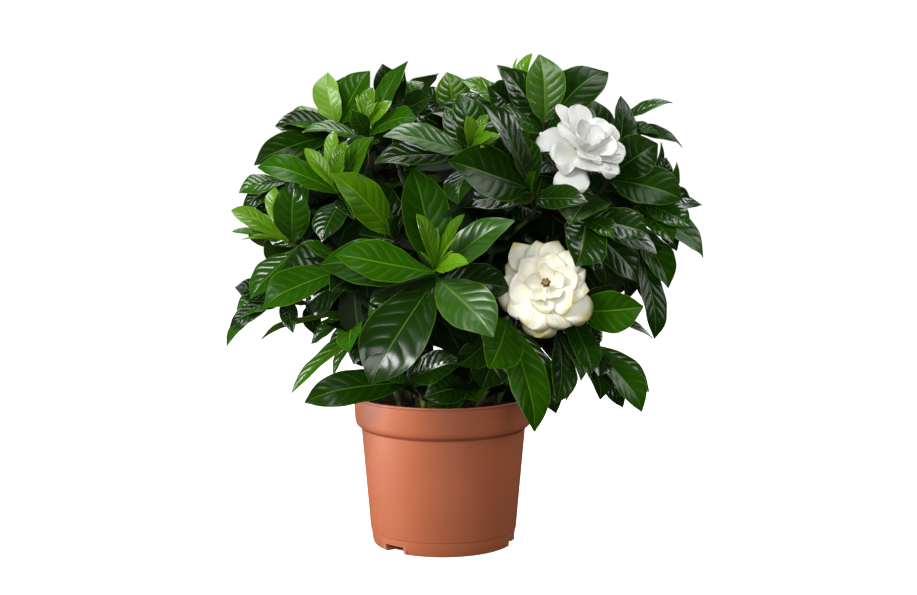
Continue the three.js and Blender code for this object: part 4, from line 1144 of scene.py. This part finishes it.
def leaf_materials():
    """The finishes of leaves and stems, made once"""
    look = looks()
    glossy, back, bark, shaded, satin, pale_sheened = LEAF_SKINS
    if glossy not in bpy.data.materials:
        leaf_finish(look, glossy, look.gloss)
        leaf_finish(look, back, look.under_gloss, upper=False)
        leaf_finish(look, satin, look.satin, 0.09)
        leaf_finish(look, pale_sheened, look.pale_sheen, 1.0)
        stem_finish(look, bark)
        shaded_leaf_finish(look, shaded)
    return [bpy.data.materials[name] for name in LEAF_SKINS]


def asked(tone):
    """The tone and skin that a number among the tones asks for"""
    if tone < 0:
        return -tone, SATIN
    return (tone - 1, PALE_SHEENED) if tone > 1 else (tone, GLOSSY)


# The pieces

def turned(profile, sides):
    """A closed turned shape: a ring of edges is extruded from point to point of the profile"""
    bpy.ops.object.select_all(action="DESELECT")
    (first, low), rest = profile[0], profile[1:]
    bpy.ops.mesh.primitive_circle_add(vertices=sides, radius=first, location=(0, 0, 0), fill_type="NGON")
    piece = bpy.context.active_object
    bpy.ops.object.mode_set(mode="EDIT")
    bpy.ops.mesh.select_all(action="SELECT")
    bpy.ops.transform.translate(value=(0, 0, low))
    before, height = first, low
    for radius, level in rest:
        bpy.ops.mesh.extrude_region_move(TRANSFORM_OT_translate={"value": (0, 0, level - height)})
        share = radius / before
        bpy.ops.transform.resize(value=(share, share, 1), center_override=(0, 0, level))
        before, height = radius, level
    bpy.ops.mesh.select_all(action="SELECT")
    bpy.ops.mesh.normals_make_consistent(inside=False)
    bpy.ops.object.mode_set(mode="OBJECT")
    put_in_order(piece.data)
    return piece


def put_in_order(mesh):
    """Numbers a mesh's corners and faces by their places, because extruding leaves that to chance"""
    places = [tuple(corner.co) for corner in mesh.vertices]
    order = sorted(range(len(places)), key=places.__getitem__)
    rank = {corner: i for i, corner in enumerate(order)}
    faces = []
    for face in mesh.polygons:
        corners = [rank[corner] for corner in face.vertices]
        first = corners.index(min(corners))
        faces.append(corners[first:] + corners[:first])
    mesh.clear_geometry()
    mesh.from_pydata([places[corner] for corner in order], [], sorted(faces))
    mesh.update()


def dressed(piece, name, material, smooth):
    """A turned piece with its name, its one material and its shading"""
    piece.name = piece.data.name = name
    piece.data.materials.clear()
    piece.data.materials.append(material)
    smoothed(piece, smooth)
    return piece


def cut(piece, tool, operation):
    """Joins a tool to a piece or cuts it out of it, and takes the tool away"""
    only(piece)
    bpy.ops.object.modifier_add(type="BOOLEAN")
    modifier = piece.modifiers[-1]
    modifier.operation = operation
    modifier.object = tool
    bpy.ops.object.modifier_apply(modifier=modifier.name)
    bpy.data.objects.remove(tool)


def notch_block(angle, grow):
    """A block through the pot's foot: a notch or, wider by grow, the housing round it"""
    half, back, high = NOTCH_HALF + grow, NOTCH_BACK - grow, NOTCH_HEIGHT + grow
    front, low = (HOUSING_FRONT, HOUSING_LOW) if grow else (NOTCH_FRONT, NOTCH_LOW)
    bpy.ops.object.select_all(action="DESELECT")
    bpy.ops.mesh.primitive_cube_add(size=1)
    block = bpy.context.active_object
    for corner in block.data.vertices:
        x, y, z = corner.co
        out, spread = (front, half) if x > 0 else (back, 0.8 * half)
        place = Vector((out, math.copysign(spread, y), high if z > 0 else low)) * MM
        corner.co = Matrix.Rotation(math.radians(angle), 4, "Z") @ place
    return block


def drain_post(angle):
    """A post through the roof of one notch, for its drain hole"""
    turn = math.radians(angle)
    middle = (DRAIN_LOW + DRAIN_HIGH) / 2
    place = Vector((DRAIN_AT * math.cos(turn), DRAIN_AT * math.sin(turn), middle)) * MM
    bpy.ops.object.select_all(action="DESELECT")
    bpy.ops.mesh.primitive_cylinder_add(
        vertices=24, radius=DRAIN_RADIUS * MM, depth=(DRAIN_HIGH - DRAIN_LOW) * MM, location=place)
    return bpy.context.active_object


class GARDENIA_OT_pot(bpy.types.Operator):
    """Turns the pot, cuts its notches and drain holes, and gives it its plastic"""

    bl_idname = "gardenia.pot"
    bl_label = "Pot"

    def execute(self, context):
        look = context.scene.gardenia_pot
        high, rim = look.height / MM, look.rim_radius / MM
        profile = [*POT_OUTSIDE, *((rim + r, high + z) for r, z in POT_RIM), *POT_INSIDE]
        pot = turned([(r * MM, z * MM) for r, z in profile], look.sides)
        for angle in NOTCH_ANGLES:
            cut(pot, notch_block(angle, POT_WALL), "UNION")
        for angle in NOTCH_ANGLES:
            cut(pot, notch_block(angle, 0), "DIFFERENCE")
            cut(pot, drain_post(angle), "DIFFERENCE")
        dressed(pot, "pot_body", pot_finish(look, "pot plastic"), 28)
        take_place(pot, "pot")
        return {"FINISHED"}


class GARDENIA_OT_soil(bpy.types.Operator):
    """Fills the pot with lumpy soil"""

    bl_idname = "gardenia.soil"
    bl_label = "Soil"

    def execute(self, context):
        low = SOIL_BOX[0].z / MM
        profile = [(SOIL_FOOT, low), *SOIL_BELOW, (SOIL_RADIUS + 0.1, SOIL_TOP)]
        profile += [(SOIL_RADIUS * (1 - k / SOIL_RINGS) + 0.4, SOIL_TOP) for k in range(1, SOIL_RINGS)]
        soil = turned([(r * MM, z * MM) for r, z in profile], SOIL_SIDES)
        for corner in soil.data.vertices:
            x, y, z = corner.co / MM
            if z > SOIL_TOP - 0.01 and math.hypot(x, y) < SOIL_RADIUS + 0.05:
                corner.co.z = self.level(x, y) * MM
        dressed(soil, "soil_crumbs", soil_finish(context.scene.gardenia_pot, "potting soil"), 60)
        take_place(soil, "soil")
        return {"FINISHED"}

    def level(self, x, y):
        """Height of the soil at a place: the solid's lumps, crumbs, and a bank towards the wall"""
        lump = 1.1 * math.sin(0.16 * x + 1) * math.cos(0.13 * y) + 0.8 * math.sin(0.07 * x - 0.19 * y)
        crumb = noise(Vector((x, y, 0)) * 0.22) * 1.5 + noise(Vector((x, y, 5)) * 0.6) * 0.9
        outward = max(0, (math.hypot(x, y) - BANK_FROM) / (SOIL_RADIUS - BANK_FROM))
        return SOIL_TOP + lump + crumb + BANK_HEIGHT * outward ** 2


class GARDENIA_OT_leafy_stems(bpy.types.Operator):
    """Grows each leafy stem: its wood, shoots and mature leaves"""

    bl_idname = "gardenia.leafy_stems"
    bl_label = "Leafy stems"

    def execute(self, context):
        for name, (hole, fork) in STEMS.items():
            node = f"leafy_stem_{name}"
            growth, corners = Growth(), Corners(node)
            self.wood(growth, Vector((*hole, 0)), Vector(fork))
            for bloom in ALL_BLOOMS:
                if bloom.stem == name:
                    self.calyx(growth, corners, bloom)
            for i, shoot in enumerate(ALL_SHOOTS):
                if shoot.stem == name:
                    self.shoot(growth, corners, shoot, i)
            for blade in filler_blades(name):
                growth.add_leaf(blade, FILLER_TONE)
            take_place(growth.piece(f"leaves_{name}", leaf_materials()), node)
        return {"FINISHED"}

    def wood(self, growth, hole, fork):
        foot, collar = hole + UP * (SOIL_TOP - STEM_DEPTH + 0.3), hole + UP * (SOIL_TOP + 2)
        middle = fork.lerp(collar, 0.5) + UP * (0.08 * (fork - collar).length)
        growth.add_tube([foot, collar, middle, fork + UP * STEM_RADIUS], STEM_RADIUS, 2.1, BARK)

    def calyx(self, growth, corners, bloom):
        growth.add_tube(bloom.shoot_points(), SHOOT_RADIUS, SHOOT_RADIUS, BARK)
        for sepal in bloom.sepals():
            for blade in corners.placed(sepal):
                growth.add_leaf(blade, 0.8, "young", YOUNG_WIDTHS)

    def shoot(self, growth, corners, shoot, i):
        """A shoot's wood, its leaves where the solids have them, and the shaded ones inside"""
        growth.add_tube(shoot.points, SHOOT_RADIUS, 1.6, BARK)
        for blade, tone in (*shoot.shown_blades(Draws(301 + i)), *shoot.pair_blades(Draws(301 + i))):
            shade, skin = asked(tone)
            for leaf in corners.placed(blade) or [blade]:
                growth.add_leaf(leaf, shade, skins=(skin, BACK))
        for blade, tone in shoot.inner_blades(Draws(401 + i)):
            growth.add_leaf(blade, tone, "young", skins=(SHADED, SHADED))


class GARDENIA_OT_tufts(bpy.types.Operator):
    """Grows the tufts of young lime leaves at the shoots' tips"""

    bl_idname = "gardenia.tufts"
    bl_label = "Tufts of young leaves"

    def execute(self, context):
        for i, shoot in enumerate(ALL_SHOOTS):
            if not shoot.young:
                continue
            node = f"tuft_{shoot.name}"
            growth, corners = Growth(), Corners(node)
            foot = shoot.tip + shoot.axis * 0.3
            bud = [foot, foot + shoot.axis * 3, foot + shoot.axis * 6, foot + shoot.axis * 9]
            growth.add_tube(bud, 1.6, 0.3, GLOSSY, per=3)
            for blade, tone in shoot.young_blades(Draws(201 + i)):
                for leaf in corners.placed(blade):
                    growth.add_leaf(leaf, tone, "young", YOUNG_WIDTHS)
            for blade in shoot.stipules(Draws(501 + i)):
                growth.add_leaf(blade, 1.0, "young", YOUNG_WIDTHS)
            take_place(growth.piece(f"young_{shoot.name}", leaf_materials()), node)
        return {"FINISHED"}


class GARDENIA_OT_blooms(bpy.types.Operator):
    """Lays the petals of each bloom in layers"""

    bl_idname = "gardenia.blooms"
    bl_label = "Blooms"

    def execute(self, context):
        look = context.scene.gardenia_blooms
        sheet = blank("petal")
        for i, bloom in enumerate(ALL_BLOOMS):
            growth = Growth()
            age = 1 if bloom.heart else 0.1
            hub = [bloom.centre + bloom.facing * rise for rise in (-HUB_LENGTH, -5, 0, 3)]
            growth.add_tube(hub, 3, 4, 0, per=3)
            for k, (layer, blade) in enumerate(bloom.petals(101 + i)):
                pointed = bloom.heart and blade.tip.z > blade.root.z
                widths = POINTED_WIDTHS if pointed else ROUND_WIDTHS
                points = sheet.bent(blade, widths, PETAL_MIDRIB, PETAL_RIM, petal_form(layer, age))
                tone = 0.9 - 0.22 * layer + 0.3 * ((k * 0.618) % 1)
                growth.add_sheet(sheet, points, tone, (0, 0))
            which = bloom.name.removeprefix("bloom_")
            piece = growth.piece(f"{which}_petals", [petal_finish(look, f"petal {which}", age)], 60)
            take_place(piece, f"{bloom.name}_petals")
        return {"FINISHED"}


class GARDENIA_OT_heart(bpy.types.Operator):
    """Sets the stamens and stigma in the open bloom"""

    bl_idname = "gardenia.heart"
    bl_label = "Heart of the bloom"

    def execute(self, context):
        look = context.scene.gardenia_blooms
        skins = [heart_finish(look, "stigma", 1.2), heart_finish(look, "stamens", 0.4)]
        for bloom in ALL_BLOOMS:
            if not bloom.heart:
                continue
            growth = Growth()
            club = [bloom.at(0, 0, rise) for rise in (3.3, 8, 12, 14.6)]
            growth.add_tube(club, 1.2, 1.9, 0, per=3)
            for turn in range(0, 360, 60):
                steps = (turn, 0.5, 7), (turn + 8, 1.5, 10), (turn + 12, 2.5, 12.6)
                growth.add_tube([bloom.at(*step) for step in steps], 0.7, 1.3, 1, sides=8, per=3)
            piece = growth.piece(f"{bloom.name.removeprefix('bloom_')}_heart", skins)
            take_place(piece, f"{bloom.name}_heart")
        return {"FINISHED"}


def area_light(name, place, aim, size, power):
    bpy.ops.object.light_add(type="AREA", location=place)
    light = bpy.context.active_object
    light.name = name
    light.rotation_euler = (Vector(aim) - Vector(place)).to_track_quat("-Z", "Y").to_euler()
    light.data.size = size
    light.data.energy = power
    return light.data


class GARDENIA_OT_stage(bpy.types.Operator):
    """Sets the pale floor, the soft lights and the camera"""

    bl_idname = "gardenia.stage"
    bl_label = "Studio"

    def execute(self, context):
        look = context.scene.gardenia_stage
        self.floor(context, look)
        lights = {name: area_light(name, *row, getattr(look, name)) for name, *row in LIGHTS}
        side = lights["side"]
        side.shape = "RECTANGLE"
        side.size_y, side.spread = SIDE_LIGHT_HEIGHT, math.radians(SIDE_LIGHT_SPREAD)
        self.surround(context, look)
        bpy.ops.object.camera_add(location=CAMERA_PLACE, rotation=(math.radians(CAMERA_PITCH), 0, 0))
        camera = context.active_object
        camera.data.lens = CAMERA_LENS
        camera.data.sensor_width = 36
        context.scene.camera = camera
        context.scene.view_settings.view_transform = "Standard"
        return {"FINISHED"}

    def floor(self, context, look):
        """A pale floor just below the pot, which throws no light back on the plant"""
        bpy.ops.object.select_all(action="DESELECT")
        bpy.ops.mesh.primitive_plane_add(size=look.floor_size, location=(0, 0, -0.0002))
        floor = context.active_object
        floor.name = "floor"
        pale = Finish("pale floor", Base_Color=rgb((0.92, 0.92, 0.92)), Roughness=0.9,
                      Emission_Color=rgb((1, 1, 1)), Emission_Strength=1.0)
        floor.data.materials.append(pale.material)
        floor.visible_diffuse = floor.visible_glossy = False

    def surround(self, context, look):
        """White where the camera looks past the plant, dimmer as light"""
        world = bpy.data.worlds.new("studio")
        context.scene.world = world
        world.use_nodes = True
        nodes = Nodes(world.node_tree)
        seen = nodes.value("ShaderNodeLightPath", output="Is Camera Ray")
        level = nodes.value("ShaderNodeMix", None, {0: seen, 2: look.ambient, 3: 1.0})
        backdrop = nodes.tree.nodes["Background"]
        nodes.set(backdrop.inputs["Color"], (1, 1, 1, 1))
        nodes.set(backdrop.inputs["Strength"], level)


PIECES = [
    GARDENIA_OT_pot, GARDENIA_OT_soil, GARDENIA_OT_leafy_stems, GARDENIA_OT_tufts, GARDENIA_OT_blooms,
    GARDENIA_OT_heart, GARDENIA_OT_stage,
]
GROUPS = {
    "gardenia_pot": GardeniaPot,
    "gardenia_leaves": GardeniaLeaves,
    "gardenia_blooms": GardeniaBlooms,
    "gardenia_stage": GardeniaStage,
}


class GARDENIA_PT_panel(bpy.types.Panel):
    """Lists the sizes and colours, and the steps that build the plant"""

    bl_label = "Potted gardenia"
    bl_space_type = "VIEW_3D"
    bl_region_type = "UI"
    bl_category = "Gardenia"

    def draw(self, context):
        for name, group in GROUPS.items():
            box = self.layout.box()
            box.label(text=group.__doc__)
            for setting in group.__annotations__:
                box.prop(getattr(context.scene, name), setting)
        for piece in PIECES:
            self.layout.operator(piece.bl_idname)


def register():
    for made in (*GROUPS.values(), *PIECES, GARDENIA_PT_panel):
        bpy.utils.register_class(made)
    for name, group in GROUPS.items():
        setattr(bpy.types.Scene, name, bpy.props.PointerProperty(type=group))


def unregister():
    for name in GROUPS:
        delattr(bpy.types.Scene, name)
    for made in (GARDENIA_PT_panel, *reversed(PIECES), *reversed(GROUPS.values())):
        bpy.utils.unregister_class(made)


def main():
    register()
    for piece in PIECES:
        group, step = piece.bl_idname.split(".")
        getattr(getattr(bpy.ops, group), step)()


if __name__ == "__main__":
    main()
